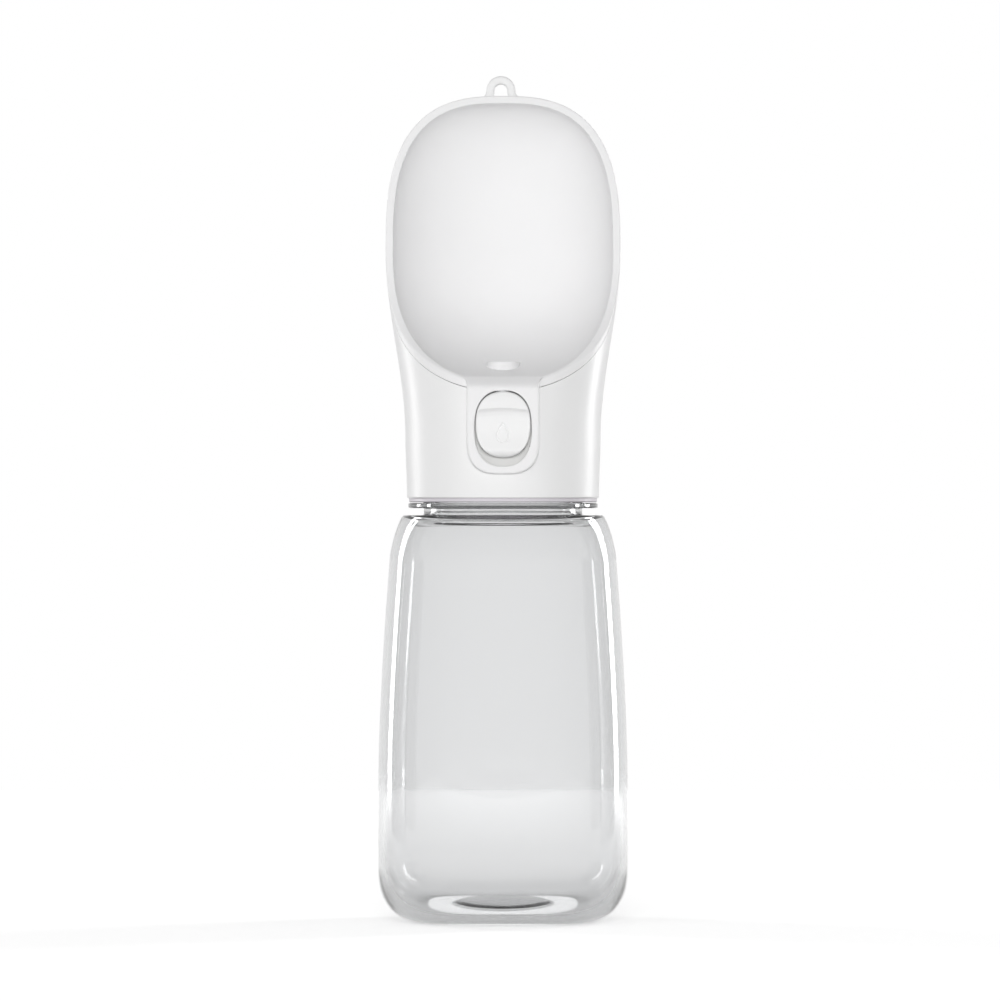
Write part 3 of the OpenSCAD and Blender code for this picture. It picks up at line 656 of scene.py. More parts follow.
# %% Outer shell
shell_wall, part_gap, hair_gap = 1.6, 0.1, 0.04
low_cut = np.linspace(lip_z - 6, lip_z + 8, 4000)
low_cut = float(low_cut[np.argmax(rim_behind(low_cut, rim_t + hair_gap) > -head_front(low_cut))])
skirt_levels = np.concatenate([[shell_z, 122.37, 122.5, 122.75], np.linspace(123.6, 129.4, 6),
                               np.linspace(130.4, low_cut, 24)])
swept_levels = low_cut + (wide_z - low_cut) * np.linspace(0, 1, 42)[1:] ** 2
crown_levels = wide_z + scoop_rise * np.sin(np.linspace(0, math.pi / 2, 45)[1:])
shell_levels = np.concatenate([skirt_levels, swept_levels, crown_levels])
soft_foot = {0: 0.35, 1: 0.14, 2: 0.03}


def head_ring(z, start, steps, inset=0.0):
    angles = np.linspace(start, math.pi - start, steps)
    depth = np.where(np.sin(angles) > 0, head_back(z), head_front(z)) - inset
    width = head_half(z) - inset
    return np.stack([width * np.cos(angles), depth * np.sin(angles), np.full(steps, float(z))], -1)


def cut_angle(z):
    y = float(rim_behind(z, rim_t + hair_gap))
    share = y / float(head_front(z) if y < 0 else head_back(z))
    return math.asin(max(-1.0, min(1.0, share))) if z > low_cut else -math.pi / 2


shell_rows = np.array([head_ring(z, cut_angle(z), 181, soft_foot.get(k, 0.0))
                       for k, z in enumerate(shell_levels)])
points, faces = skin(shell_rows, ring=False)
middle = points[faces].mean(1)
window = np.abs(middle[:, 0] / 8.9) ** 2.4 + np.abs((middle[:, 2] - 142.15) / 11.5) ** 2.4 < 1
window &= middle[:, 1] < 0
mesh = make_mesh("outer_shell_skin", points, faces[~window])
close_mesh(mesh, solid=False)
outer_skin = add_piece("white_shell", mesh)
thick = outer_skin.modifiers.new("wall", "SOLIDIFY")
thick.thickness = shell_wall * MM
thick.offset = -1
thick.use_even_offset = False
apply_modifiers(outer_skin)
print("open edges:", close_mesh(outer_skin.data, merge=0.001, sharp=50))

# %% [markdown]
# The hanging loop stands on the crown. Its bar keeps one section, a softened rectangle, along an arched path,
# and widens at both feet to run out into the crown.

# %% Hanging loop
loop_w, loop_bar, loop_d, loop_h, loop_x = 8.5, 2.45, 3.0, 5.9, -0.6
half_gap = (loop_w - loop_bar) / 2
loop_top = crown_z + loop_h - loop_bar / 2 - half_gap
turns = np.linspace(0, math.pi, 33)
arch = np.stack([half_gap * np.cos(turns), loop_top + half_gap * np.sin(turns)], -1)
leg = np.linspace(crown_z - 1.0, loop_top, 14)[:-1]
spread_out = 1.9 * unit((crown_z + 1.6 - leg) / 3.8) ** 2
right_leg = np.stack([half_gap + spread_out, leg], -1)
path = np.concatenate([right_leg, arch, (right_leg * [-1, 1])[::-1]])
along = np.gradient(path, axis=0)
along /= np.linalg.norm(along, axis=1)[:, None]
across = np.stack([along[:, 1], -along[:, 0]], -1)
swell = 1 + 0.5 * unit((crown_z + 1.2 - path[:, 1]) / 3.0) ** 2
around_bar = np.linspace(0, math.tau, 33)[:-1]
loop_y = rim_lean + rim_t + part_gap + loop_d / 2
loop_rows = np.array([
    [[loop_x + p[0] + n[0] * w * power(math.cos(a), 0.55), loop_y + loop_d / 2 * power(math.sin(a), 0.55),
      p[1] + n[1] * w * power(math.cos(a), 0.55)] for a in around_bar]
    for p, n, w in zip(path, across, swell * loop_bar / 2)])
ends = loop_rows[[0, -1]].mean(1, keepdims=True).repeat(len(around_bar), 1)
points, faces = skin(np.concatenate([ends[:1], loop_rows, ends[1:]]))
loop_mesh = make_mesh("loop", points, faces)
print("open edges:", close_mesh(loop_mesh, sharp=60))
loop_piece = add_piece("loop", loop_mesh)


def join_into(target, *others):
    """Adds other pieces' meshes to a piece."""
    bm = bmesh.new()
    for piece in (target,) + others:
        bm.from_mesh(piece.data)
    bm.to_mesh(target.data)
    bm.free()
    for piece in others:
        bpy.data.objects.remove(piece)
    return target


white_shell = join_into(outer_skin, loop_piece)
dress(white_shell, "head", "shell_white", "outer_shell")

# %% [markdown]
# ## The scoop
# Seen from the front, the bowl is a relief: behind each point of the opening lies one point of its wall. So
# rays go out from the middle of the opening, and each ray follows the bowl's wall down, rounds the edge,
# crosses the flat rim, rounds the outside and comes back behind. Steps along a ray are equally long on the
# surface, so the gently rising floor gets as many points as the steep back.

# %% Bowl as a relief
bowl_half_w = head_w / 2 - rim_w
bowl_low, bowl_high = scoop_drop - rim_w * 0.38, scoop_rise - rim_w


def bowl_back(z, grow, low, high):
    """Depth of the bowl's back at a level, from a side view drawn by angle."""
    a = np.linspace(0, math.pi / 2, 3000)
    u = np.sin(a) ** (1 / 1.4)
    deep = bowl_deep + grow + skirt_r
    climb = floor_slope * deep
    floor_z = wide_z - low + climb * u + (low - climb) * (1 - np.cos(a) ** (1 / 1.4))
    back_y = rim_lean + (bowl_deep + grow - rim_lean) * np.cos(a) ** (1 / 1.2)
    back_z = wide_z + high * np.sin(a) ** (1 / 1.2)
    return np.interp(z, np.concatenate([floor_z, back_z[1:]]), np.concatenate([deep * u - skirt_r, back_y[1:]]))


def bowl_y(x, z, grow=0.0, grow_low=0.0, grow_high=0.0):
    """Depth of the bowl's wall behind a point of the front view. Outside the bowl it is in front of the rim."""
    low, high = bowl_low + grow_low, bowl_high + grow_high
    half = (bowl_half_w + grow) * np.where(
        z < wide_z, dome((wide_z - z) / low, 2.38), dome((z - wide_z) / high, 2.8))
    front = rim_y(z) - rim_start
    inside = np.sqrt(np.maximum(1 - (x / np.maximum(half, 1e-6)) ** 2, 0))
    depth = np.where((z > wide_z - low) & (z < wide_z + high), bowl_back(z, grow, low, high) - front, 0)
    return front + np.maximum(depth, 0) * inside


print("floor under the middle of the opening:", round(float(bowl_y(0.0, 160.0)), 2))

# %% [markdown]
# Where a ray meets an edge has no simple formula, because the head's outline bulges. Halving a distance again
# and again finds it to a thousandth of a millimetre, for all rays at once.

# %% Rays across the scoop
rays = 300
ray_angle = -math.pi / 2 + np.arange(rays) * math.tau / rays
ray_x, ray_z = np.cos(ray_angle), np.sin(ray_angle)


def reach(test, low=5.0, high=60.0):
    """How far each ray goes until a test, which is positive inside, turns negative."""
    near, far = np.full(rays, low), np.full(rays, high)
    for _ in range(44):
        middle = (near + far) / 2
        inside = test(middle * ray_x, wide_z + middle * ray_z) > 0
        near, far = np.where(inside, middle, near), np.where(inside, far, middle)
    return near


def on_ray(r, y):
    return np.stack([r * ray_x, y, wide_z + r * ray_z], -1)


def head_edge(back):
    """Where the rays leave the head's outline, on the rim's curve moved back by a distance."""
    def test(x, z):
        y = rim_behind(z, back)
        depth = np.where(y < 0, head_front(z), head_back(z))
        room = 1 - (x / np.maximum(head_half(z), 1e-6)) ** 2 - (y / depth) ** 2
        return np.where(z > crown_z, -1, room)
    r = reach(test)
    return r, rim_behind(wide_z + r * ray_z, back)


def even_rows(reach_r, height, steps, **grow):
    """Rows from the middle out to a reach, equally spaced along the surface."""
    t = np.sin(np.linspace(0, math.pi / 2, 900))[:, None]
    r = reach_r[None, :] * t
    y = height(r * ray_x, wide_z + r * ray_z, **grow)
    length = np.concatenate([np.zeros((1, rays)), np.cumsum(np.hypot(np.diff(r, axis=0), np.diff(y, axis=0)), 0)])
    wanted = np.linspace(0, 1, steps)[:, None] * length[-1]
    even = np.stack([np.interp(wanted[:, k], length[:, k], r[:, k]) for k in range(rays)], -1)
    return [on_ray(even[k], height(even[k] * ray_x, wide_z + even[k] * ray_z, **grow)) for k in range(steps)]


def bezier(a, b, c, steps):
    """Inner points of a rounding from a to c, with the sharp corner at b."""
    return [(1 - t) ** 2 * a + 2 * t * (1 - t) * b + t ** 2 * c for t in np.linspace(0, 1, steps + 2)[1:-1]]


edge_soft = 0.5
inner_r = reach(lambda x, z: bowl_y(x, z) - rim_y(z) - edge_soft)
sharp_r = reach(lambda x, z: bowl_y(x, z) - rim_y(z))
outer_r, outer_y = head_edge(0.0)
print("rim is", round(float((outer_r - sharp_r).min()), 2), "to", round(float((outer_r - sharp_r).max()), 2),
      "mm wide in the front view")

# %% [markdown]
# The rows now follow one another from the middle of the bowl, over the rim and back behind, so the skin closes
# on itself. Small curves with a handle at the sharp corner stand in for the rounded edges of a moulding.

# %% Skin of the scoop
def rim_point(r):
    return on_ray(r, rim_y(wide_z + r * ray_z))


scoop_rows = even_rows(inner_r, bowl_y, 84)
scoop_rows += bezier(scoop_rows[-1], rim_point(sharp_r), rim_point(sharp_r + 0.4), 4)
band = outer_r - 0.5 - (sharp_r + 0.4)
scoop_rows += [rim_point(sharp_r + 0.4 + band * t) for t in np.linspace(0, 1, 5)]
side = [head_edge(d) for d in (0.55, 0.9, 1.4, 1.8)]
side = [on_ray(r, y) for r, y in side]
scoop_rows += bezier(scoop_rows[-1], on_ray(outer_r, outer_y), side[0], 5) + side
last_r, last_y = head_edge(rim_t)


def rim_back(r):
    return on_ray(r, rim_behind(wide_z + r * ray_z, rim_t))


scoop_rows += bezier(side[-1], on_ray(last_r, last_y), rim_back(last_r - 0.2), 2)
grown = dict(grow=bowl_wall, grow_low=0.9, grow_high=bowl_wall)
shell_r = reach(lambda x, z: bowl_y(x, z, **grown) - rim_behind(z, rim_t))
shell_r = np.minimum(shell_r, last_r - 0.4)
scoop_rows += [rim_back(last_r - 0.2), rim_back((last_r + shell_r) / 2)]
scoop_rows += even_rows(shell_r, bowl_y, 44, **grown)[::-1]
points, faces = skin(np.array(scoop_rows))
scoop_mesh = make_mesh("scoop", points, faces)
print("open edges:", close_mesh(scoop_mesh, sharp=50))
scoop_piece = add_piece("white_scoop", scoop_mesh)

# %% [markdown]
# Water enters through a small hole in the middle of a shallow dish. Both are cut out of the floor with one
# turned tool, by a Boolean modifier. The tool's profile flattens towards its edge, so the dish has a soft
# border.

# %% Outlet
outlet_y, outlet_r, dimple_r, dimple_d = 7.5, 1.6, 3.75, 0.9
share = ((skirt_r - outlet_y) / (bowl_deep + skirt_r)) ** 2.8
outlet_a = math.atan2(math.sqrt(share), math.sqrt(1 - share))


def floor_at(a):
    u = math.sin(a) ** (1 / 1.4)
    deep = bowl_deep + skirt_r
    climb = floor_slope * deep
    return deep * u - skirt_r, wide_z - bowl_low + climb * u + (bowl_low - climb) * (1 - math.cos(a) ** (1 / 1.4))


outlet_z = floor_at(outlet_a)[1]
ahead, behind = floor_at(outlet_a + 0.02), floor_at(outlet_a - 0.02)
tilt = math.atan2(ahead[1] - behind[1], ahead[0] - behind[0])
ball = (dimple_r ** 2 + dimple_d ** 2) / (2 * dimple_d)


def turned(profile_points, steps=72):
    """A closed turned solid around Z, from a list of radius and height that starts and ends on the axis."""
    turn_angle = np.linspace(0, math.tau, steps + 1)[:-1]
    rows = np.array([[[r * math.cos(a), r * math.sin(a), h] for a in turn_angle] for r, h in profile_points])
    return skin(rows)


def tilted(points, angle_rad, place):
    c, s = math.cos(angle_rad), math.sin(angle_rad)
    x, y, z = points.T
    return np.stack([x, c * y - s * z, s * y + c * z], -1) + np.array(place)


dish_line = [(r, ball - dimple_d - math.sqrt(ball ** 2 - r ** 2)) for r in np.linspace(1.95, 3.5, 8)]
tool = [(0, -9), (outlet_r, -9), (outlet_r, -1.2), (outlet_r + 0.06, -0.98), (outlet_r + 0.2, -0.83)]
tool += dish_line + [(3.75, -0.02), (4.0, 0.06), (4.35, 0.12), (4.35, 3.0), (0, 3.0)]
points, faces = turned(tool)
tool_mesh = make_mesh("outlet_tool", tilted(points, tilt, (0, -outlet_y, outlet_z)), faces)
close_mesh(tool_mesh)
outlet_tool = add_piece("outlet_tool", tool_mesh)


def cut_with(piece, tool_piece, operation="DIFFERENCE"):
    cut = piece.modifiers.new("cut", "BOOLEAN")
    cut.operation, cut.solver, cut.object = operation, "EXACT", tool_piece
    apply_modifiers(piece)
    bpy.data.objects.remove(tool_piece)
    return close_mesh(piece.data, merge=0.001, sharp=50)


boss = [(0, 157.4), (4.6, 157.4), (4.85, 157.7), (4.85, outlet_z + 1.0), (0, outlet_z + 1.0)]
spigot = [(0, 150.6), (2.45, 150.6), (2.6, 150.8), (2.6, 158.5), (0, 158.5)]
for label, line in (("boss", boss), ("spigot", spigot)):
    points, faces = turned(line)
    mesh = make_mesh(label, points + np.array([0, -outlet_y, 0]), faces)
    close_mesh(mesh)
    cut_with(scoop_piece, add_piece(label, mesh), "UNION")
print("open edges after the cut:", cut_with(scoop_piece, outlet_tool))

# %% [markdown]
# ## The pad around the key
# The pad is a flat frame in front of the skirt. Its face has a soft outer edge, and at the top it bends back
# and runs up under the rim, so the two look like one moulding. Rows go from the key's opening outwards: the
# opening's wall, its edge, the face, the outer edge and the side.

# %% Pad outline
pad_w, pad_y, pocket_y, pad_low = 20.7, -29.3, -25.9, 129.1
slot_w, slot_low, slot_high = 16.4, 131.3, 153.0
slot_mid = (slot_low + slot_high) / 2
foot = 11.0
pad_half = pad_w / 2
quarter = np.linspace(-math.pi / 2, 0, 40)
right_side = [(pad_half * float(power(math.cos(a), 2 / 2.9)),
               pad_low + foot + foot * float(power(math.sin(a), 2 / 2.9))) for a in quarter]
right_side += [(pad_half, z) for z in np.linspace(pad_low + foot, 153.9, 18)[1:]]
join_start, join_corner, join_end = (np.array(p) for p in ([pad_half, 154.2], [pad_half, 156.1], [12.0, 156.9]))
right_side += [tuple((1 - t) ** 2 * join_start + 2 * t * (1 - t) * join_corner + t ** 2 * join_end)
               for t in np.linspace(0, 1, 10)]
right_side += [(x, 157.3) for x in np.linspace(11.4, 0, 26)]
right_side = np.array(right_side)
outline = np.concatenate([right_side, (right_side[1:-1] * [-1, 1])[::-1]])
forward = np.roll(outline, -1, 0) - np.roll(outline, 1, 0)
forward /= np.linalg.norm(forward, axis=1)[:, None]
outward = np.stack([forward[:, 1], -forward[:, 0]], -1)
print("points around the pad:", len(outline))

# %% [markdown]
# Each row has the same number of points, spread so that lines between rows never cross. The face leans back onto
# the rim near its top, and its last rows dip just under the rim, which hides where the two meet.

# %% Skin of the pad
way = np.concatenate([[0], np.cumsum(np.hypot(*np.diff(right_side, axis=0).T))])
marks = [0, 39, 57, len(right_side) - 1]
mark_turn = np.arctan2(right_side[marks, 1] - slot_mid, right_side[marks, 0])
right_turn = np.interp(way, way[marks], mark_turn)
slot_turn = np.concatenate([right_turn, (math.pi - right_turn[1:-1])[::-1]])


def slot_outline(grow):
    """The opening's outline, with a point for each point of the pad's outline and no two out of order."""
    half_w, half_h = slot_w / 2 + grow, (slot_high - slot_low) / 2 + grow
    across, up = np.cos(slot_turn), np.sin(slot_turn)
    scale = (np.abs(across / half_w) ** 2.4 + np.abs(up / half_h) ** 2.4) ** (-1 / 2.4)
    return np.stack([across * scale, slot_mid + up * scale], -1)


def pad_face(xz):
    """Depth of the pad's face: flat, then rounded back onto the rim's slope."""
    y = smooth_max(np.full(len(xz), pad_y), rim_y(xz[:, 1]), 1.5) - 0.04
    dive = 0.07 * np.maximum(xz[:, 1] - 155.8 - 0.012 * xz[:, 0] ** 2, 0)
    return y + dive


def pad_row(xz, y):
    return np.stack([xz[:, 0], y, xz[:, 1]], -1)


soft = 0.75
hole, face_in, face_out = slot_outline(0), slot_outline(0.35), outline - outward * soft
pad_rows = [pad_row(hole, np.full(len(hole), pocket_y)), pad_row(hole, np.full(len(hole), -28.0))]
pad_rows += [pad_row(slot_outline(0.35 * (1 - math.cos(a))), pad_y + 0.35 * (1 - math.sin(a)) * np.ones(len(hole)))
             for a in np.linspace(0, math.pi / 2, 5)]
pad_rows += [pad_row(face_in + (face_out - face_in) * t, pad_face(face_in + (face_out - face_in) * t))
             for t in np.linspace(0, 1, 9)[1:]]
for a in np.linspace(0, math.pi / 2, 7)[1:]:
    xz = outline - outward * soft * (1 - math.sin(a))
    pad_rows.append(pad_row(xz, pad_face(xz) + soft * (1 - math.cos(a))))
pad_back = np.where(np.abs(outline[:, 0]) > pad_half + 0.02, -25.2, pocket_y)
pad_rows += [pad_row(outline, np.maximum(pad_face(outline) + soft, y)) for y in (-27.4, pad_back)]
pad_rows.append(pad_rows[0])
points, faces = skin(np.array(pad_rows))
pad_mesh = make_mesh("pad", points, faces)
print("open edges:", close_mesh(pad_mesh, sharp=55))
white_scoop = join_into(scoop_piece, add_piece("pad", pad_mesh))
dress(white_scoop, "head", "scoop_white", "scoop")

# %% [markdown]
# ## The thumb key
# The key fills the pad's opening with a hair's gap. From the top down it has a rounded brow, a short slope, a
# crisp crease, a dish for the thumb and a lip with a chamfer under it. Its face is a relief again, with points
# so close that the crease stays crisp. A plain drop outline is pressed into the dish.

# %% Key profile
key_w, key_low, key_high, key_back = 15.7, 133.875, 152.65, -25.8
key_mid, key_h = (key_low + key_high) / 2, key_high - key_low
brow_line = np.array([
    (0.0, -28.55), (0.5, -28.98), (1.2, -29.36), (2.0, -29.62), (2.7, -29.78), (3.4, -29.85), (4.1, -29.89),
    (4.65, -29.9)])
dish_curve = np.array([
    (4.65, -29.9), (4.8, -29.74), (5.15, -29.25), (5.8, -28.7), (6.8, -28.25), (8.2, -27.98), (9.8, -27.9),
    (11.2, -28.0), (12.6, -28.25), (14.0, -28.6), (15.2, -28.95), (16.1, -29.2), (16.7, -29.32), (17.2, -29.2),
    (17.9, -28.7), (18.4, -28.2), (18.775, -27.7)])


def smooth_curve(table, v):
    """A curve through points that stays smooth between them."""
    grid_v = np.linspace(table[0, 0], table[-1, 0], 1500)
    grid_y = np.interp(grid_v, table[:, 0], table[:, 1])
    kernel = np.hanning(91)
    kernel /= kernel.sum()
    padded = np.concatenate([2 * grid_y[0] - grid_y[45:0:-1], grid_y, 2 * grid_y[-1] - grid_y[-2:-47:-1]])
    return np.interp(v, grid_v, np.convolve(padded, kernel, "valid"))


def drop_line(x, z):
    """Distance from the outline of a small drop."""
    cx, cz, r, tip = 0.0, 139.9, 1.75, 143.4
    u = unit((z - cz) / (tip - cz))
    half = np.where(z < cz, np.sqrt(np.maximum(r ** 2 - (z - cz) ** 2, 0)), r * (1 - u) ** 0.85 * (1 + 0.55 * u))
    body = np.abs(np.abs(x - cx) - half)
    inside = (z > cz - r) & (z < tip)
    end = np.minimum(np.hypot(x - cx, z - (cz - r)), np.hypot(x - cx, z - tip))
    return np.where(inside, np.minimum(body, end), end)


def key_relief(x, z):
    v = key_high - z
    arch = 0.55 * (x / 7.0) ** 2
    crease = 4.65
    w = np.where(v < crease + arch, v * crease / (crease + arch),
                 crease + (v - crease - arch) * (key_h - crease) / (key_h - crease - arch))
    y = np.where(w <= crease, smooth_curve(brow_line, np.minimum(w, crease)),
                 smooth_curve(dish_curve, np.maximum(w, crease)))
    groove = 0.32 * np.exp(-(drop_line(x, z) / 0.28) ** 2)
    return y + groove


print("deepest point of the dish:", round(float(key_relief(np.array([0.0]), np.array([142.6]))[0]), 2))

# %% [markdown]
# Rings shrink from the key's outline to its middle, and the relief sets how far each point stands out. Around
# the outline a quarter round leads to the side.

# %% Skin of the key
steps_round, steps_out = 240, 90
a = np.linspace(0, math.tau, steps_round + 1)[:-1]
rim_xz = np.stack([key_w / 2 * power(np.cos(a), 2 / 2.3), key_h / 2 * power(np.sin(a), 2 / 2.3)], -1)
edge = 0.55
key_rows = []
for t in np.linspace(0, 1, steps_out) ** 0.85:
    inner = rim_xz * t * (1 - edge / np.hypot(*rim_xz.T)[:, None])
    x, z = inner[:, 0], key_mid + inner[:, 1]
    key_rows.append(np.stack([x, key_relief(x, z), z], -1))
for b in np.linspace(0, math.pi / 2, 7)[1:]:
    xz = rim_xz * (1 - edge * (1 - math.sin(b)) / np.hypot(*rim_xz.T)[:, None])
    x, z = xz[:, 0], key_mid + xz[:, 1]
    key_rows.append(np.stack([x, key_relief(x, z) + edge * (1 - math.cos(b)), z], -1))
side_xz = np.stack([rim_xz[:, 0], key_mid + rim_xz[:, 1]], -1)
key_rows += [pad_row(side_xz, np.full(steps_round, key_back - 0.25)),
             pad_row(side_xz * [0.97, 1] + [0, 0], np.full(steps_round, key_back)),
             pad_row(np.full((steps_round, 2), [0.0, key_mid]), np.full(steps_round, key_back))]
points, faces = skin(np.array(key_rows))
key_mesh = make_mesh("key", points, faces)
print("open edges:", close_mesh(key_mesh, merge=0.002, sharp=50))
thumb_key = add_piece("thumb_key", key_mesh)

# %% [markdown]
# Two hooked legs behind the key reach through the press frame and hold the key on it. Each is a small block
# with a hook, bevelled so that its edges catch light.

# %% Key legs
leg_x, leg_t, leg_h, hook_t = 5.0, 1.6, 6.0, 0.9
frame_y, frame_t = -25.5, 1.5
leg_z = 139.0
hub_y = frame_y + frame_t


def block(name, low, high, soften):
    low, high = np.array(low, float), np.array(high, float)
    bm = bmesh.new()
    bmesh.ops.create_cube(bm, size=1.0)
    for vert in bm.verts:
        vert.co = [((low[k] + high[k]) / 2 + vert.co[k] * (high[k] - low[k])) * MM for k in range(3)]
    bmesh.ops.bevel(bm, geom=bm.edges[:], offset=soften * MM, segments=2, affect="EDGES", profile=0.5)
    mesh = bpy.data.meshes.new(name)
    bm.to_mesh(mesh)
    bm.free()
    close_mesh(mesh, merge=0.0005, sharp=60)
    return add_piece(name, mesh)


legs = []
for s in (-1, 1):
    legs.append(block("leg", (s * leg_x - leg_t / 2, key_back - 1, leg_z),
                      (s * leg_x + leg_t / 2, hub_y + 0.3 + hook_t, leg_z + leg_h), 0.15))
    hook_low = leg_x - leg_t / 2 if s > 0 else -leg_x - leg_t / 2 - 0.8
    legs.append(block("hook", (hook_low, hub_y + 0.3, leg_z),
                      (hook_low + leg_t + 0.8, hub_y + 0.3 + hook_t, leg_z + leg_h), 0.15))
thumb_key = join_into(thumb_key, *legs)
dress(thumb_key, "key", "key_white", "water_key")

# %% [markdown]
# ## The return spring
# A spring is one round wire on a helix. Geometry Nodes draw the helix as a curve and sweep a circle along it.

# %% Return spring
spring_r, wire_r, spring_turns = 3.3, 0.3, 6
spring_low, spring_high, valve_z = 5.35, 12.95, 142.0
coil = Tree("coil_of_wire", {
    "Radius": spring_r * MM, "Turns": float(spring_turns), "Wire": wire_r * MM,
    "Length": (spring_high - spring_low - 2 * wire_r) * MM,
})
helix = coil.node("GeometryNodeCurveSpiral")
helix.inputs["Resolution"].default_value = 40
coil.link(coil.value("Turns"), helix.inputs["Rotations"])
coil.link(coil.value("Radius"), helix.inputs["Start Radius"])
coil.link(coil.value("Radius"), helix.inputs["End Radius"])
coil.link(coil.value("Length"), helix.inputs["Height"])
lay = coil.node("GeometryNodeTransform")
coil.link(helix.outputs["Curve"], lay.inputs["Geometry"])
lay.inputs["Rotation"].default_value = (math.radians(-90), 0, 0)
lay.inputs["Translation"].default_value = (0, (spring_low + wire_r) * MM, valve_z * MM)
wire = coil.node("GeometryNodeCurvePrimitiveCircle")
wire.inputs["Resolution"].default_value = 14
coil.link(coil.value("Wire"), wire.inputs["Radius"])
sweep = coil.node("GeometryNodeCurveToMesh")
sweep.inputs["Fill Caps"].default_value = True
coil.link(lay.outputs["Geometry"], sweep.inputs["Curve"])
coil.link(wire.outputs["Curve"], sweep.inputs["Profile Curve"])
coil.finish(sweep.outputs["Mesh"], finishes["spring_steel"])
spring = coil.run(add_piece("valve_spring", bpy.data.meshes.new("spring")))
print("open edges:", close_mesh(spring.data, merge=0.0005, sharp=60))
dress(spring, "head", "spring_steel", "return_spring")
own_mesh(spring)

# %% [markdown]
# ## Floor, world and lamps
# The floor is pale and seen almost edge on. Where it is looked at, straight, in gloss or through the plastic, it
# glows a little, more towards its far edge, so that it is white while the shadow at the foot stays. The world is
# white to the camera, to gloss and to what shines through, and a plain grey to everything else.

# %% Floor
floor_w = 1.8
floor_glow = 0.498
far_glow = 0.76
bpy.ops.mesh.primitive_plane_add(size=floor_w, location=(0, 0, 0))
floor = bpy.context.object
floor.name = "studio_floor"
floor_paper, tree, shader = new_material("floor_paper")
set_inputs(shader, {"Base Color": (0.9, 0.9, 0.9, 1), "Roughness": 0.9, "Specular IOR Level": 0.0,
                    "Emission Color": (1, 1, 1, 1)})


def seen_directly(tree):
    """1 for rays from the camera, off gloss and through clear plastic, 0 for diffuse light."""
    rays_seen = tree.nodes.new("ShaderNodeLightPath")
    one = rays_seen.outputs["Is Camera Ray"]
    for label in ("Is Glossy Ray", "Is Transmission Ray"):
        either = tree.nodes.new("ShaderNodeMath")
        either.operation = "MAXIMUM"
        tree.links.new(one, either.inputs[0])
        tree.links.new(rays_seen.outputs[label], either.inputs[1])
        one = either.outputs[0]
    return one


gain = tree.nodes.new("ShaderNodeMath")
gain.operation = "MULTIPLY"
spot = tree.nodes.new("ShaderNodeTexCoord")
away = tree.nodes.new("ShaderNodeVectorMath")
away.operation = "LENGTH"
tree.links.new(spot.outputs["Object"], away.inputs[0])
tree.links.new(map_range(tree, away.outputs["Value"], floor_glow, far_glow, 0.4, 0.86), gain.inputs[1])
tree.links.new(seen_directly(tree), gain.inputs[0])
tree.links.new(gain.outputs[0], shader.inputs["Emission Strength"])
floor.data.materials.append(floor_paper)
print("floor is", floor_w, "m wide")

# %% [markdown]
# A world that is only white would light the white parts from everywhere and flatten them. So only what looks
# at it sees full white, and diffuse light gets less.

# %% World
room_light = 0.2661
world = bpy.data.worlds.new("studio")
bpy.context.scene.world = world
world.use_nodes = True
tree = world.node_tree
tree.nodes.clear()
plain, white = tree.nodes.new("ShaderNodeBackground"), tree.nodes.new("ShaderNodeBackground")
set_inputs(plain, {"Color": (1, 1, 1, 1), "Strength": room_light})
set_inputs(white, {"Color": (1, 1, 1, 1), "Strength": 1.0})
mixer = tree.nodes.new("ShaderNodeMixShader")
out = tree.nodes.new("ShaderNodeOutputWorld")
tree.links.new(seen_directly(tree), mixer.inputs[0])
tree.links.new(plain.outputs[0], mixer.inputs[1])
tree.links.new(white.outputs[0], mixer.inputs[2])
tree.links.new(mixer.outputs[0], out.inputs["Surface"])
print("world strength", plain.inputs["Strength"].default_value)

# %% [markdown]
# Most light comes from a soft box in front, which lets the bowl grow darker towards its sides. Two tall strips
# behind light the sides of the skirt and draw the white lines in the plastic.

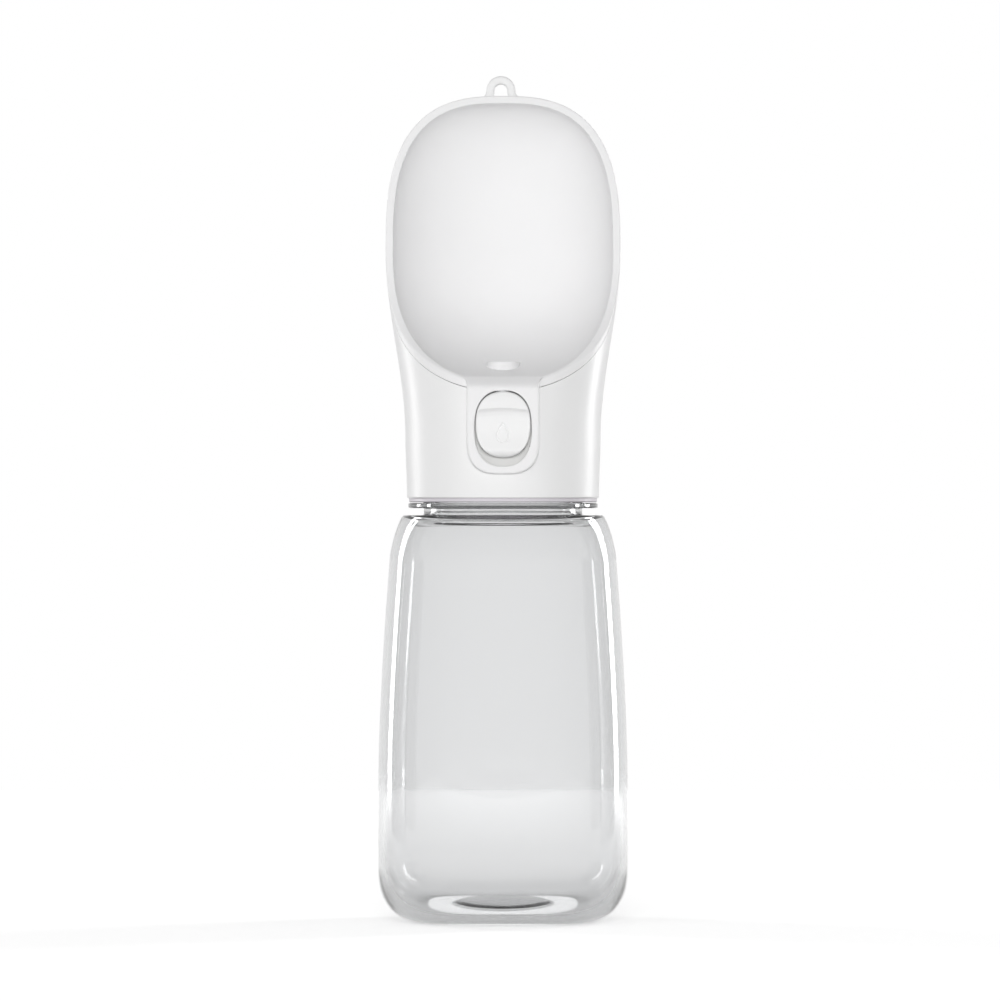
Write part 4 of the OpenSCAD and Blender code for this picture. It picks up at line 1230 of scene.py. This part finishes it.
# %% Lamps
left_watts = 2.1971
front_watts = 20.2953
top_watts = 0.0
left_strip_watts = 3.1608
right_strip_watts = 4.3992


def soft_box(name, place, aim, size, watts, shine=True):
    data = bpy.data.lights.new(name, "AREA")
    data.shape, data.size, data.size_y, data.energy = "RECTANGLE", size[0], size[1], watts
    lamp = bpy.data.objects.new(name, data)
    lamp.location = place
    direction = np.array(place) - np.array(aim)
    yaw = math.atan2(direction[0], -direction[1])
    lift_angle = math.atan2(direction[2], math.hypot(direction[0], direction[1]))
    lamp.rotation_euler = (math.pi / 2 - lift_angle, 0, yaw)
    lamp.visible_glossy = lamp.visible_transmission = shine
    bpy.context.scene.collection.objects.link(lamp)
    return lamp


soft_box("left_light", (-0.9, -1.0, 0.6), (0, 0, 0.15), (0.9, 0.9), left_watts, shine=False)
soft_box("front_light", (0.0, -1.9, 0.45), (0, 0, 0.15), (0.5, 0.5), front_watts, shine=False)
soft_box("top_light", (0.0, -0.1, 1.2), (0, 0, 0.2), (0.8, 0.6), top_watts)
soft_box("left_strip", (-0.75, 0.5, 0.2), (0, 0, 0.12), (0.16, 0.9), left_strip_watts)
soft_box("right_strip", (0.75, 0.5, 0.2), (0, 0, 0.12), (0.2, 0.9), right_strip_watts)
print("lamps:", 5)

# %% [markdown]
# A photographer stands black cards beside clear plastic, so that its edges show as thin dark lines against a
# white room. The two cards here act only on what is seen through the plastic. They cast no shadow and take no
# light from the white parts.

# %% Black cards beside the bottle
card_paper, tree, shader = new_material("card_paper")
set_inputs(shader, {"Base Color": (0.03, 0.03, 0.03, 1), "Roughness": 0.9})
for side_name, side_sign in (("left_card", -1), ("right_card", 1)):
    mesh = bpy.data.meshes.new(side_name)
    near, far = (side_sign * 0.5, -0.02), (side_sign * 0.5, 0.3)
    mesh.from_pydata([(*near, 0.0), (*far, 0.0), (*far, 0.5), (*near, 0.5)], [], [(0, 1, 2, 3)])
    mesh.materials.append(card_paper)
    card = add_piece(side_name, mesh)
    card.visible_camera = card.visible_diffuse = card.visible_glossy = card.visible_shadow = False
print("cards:", 2)
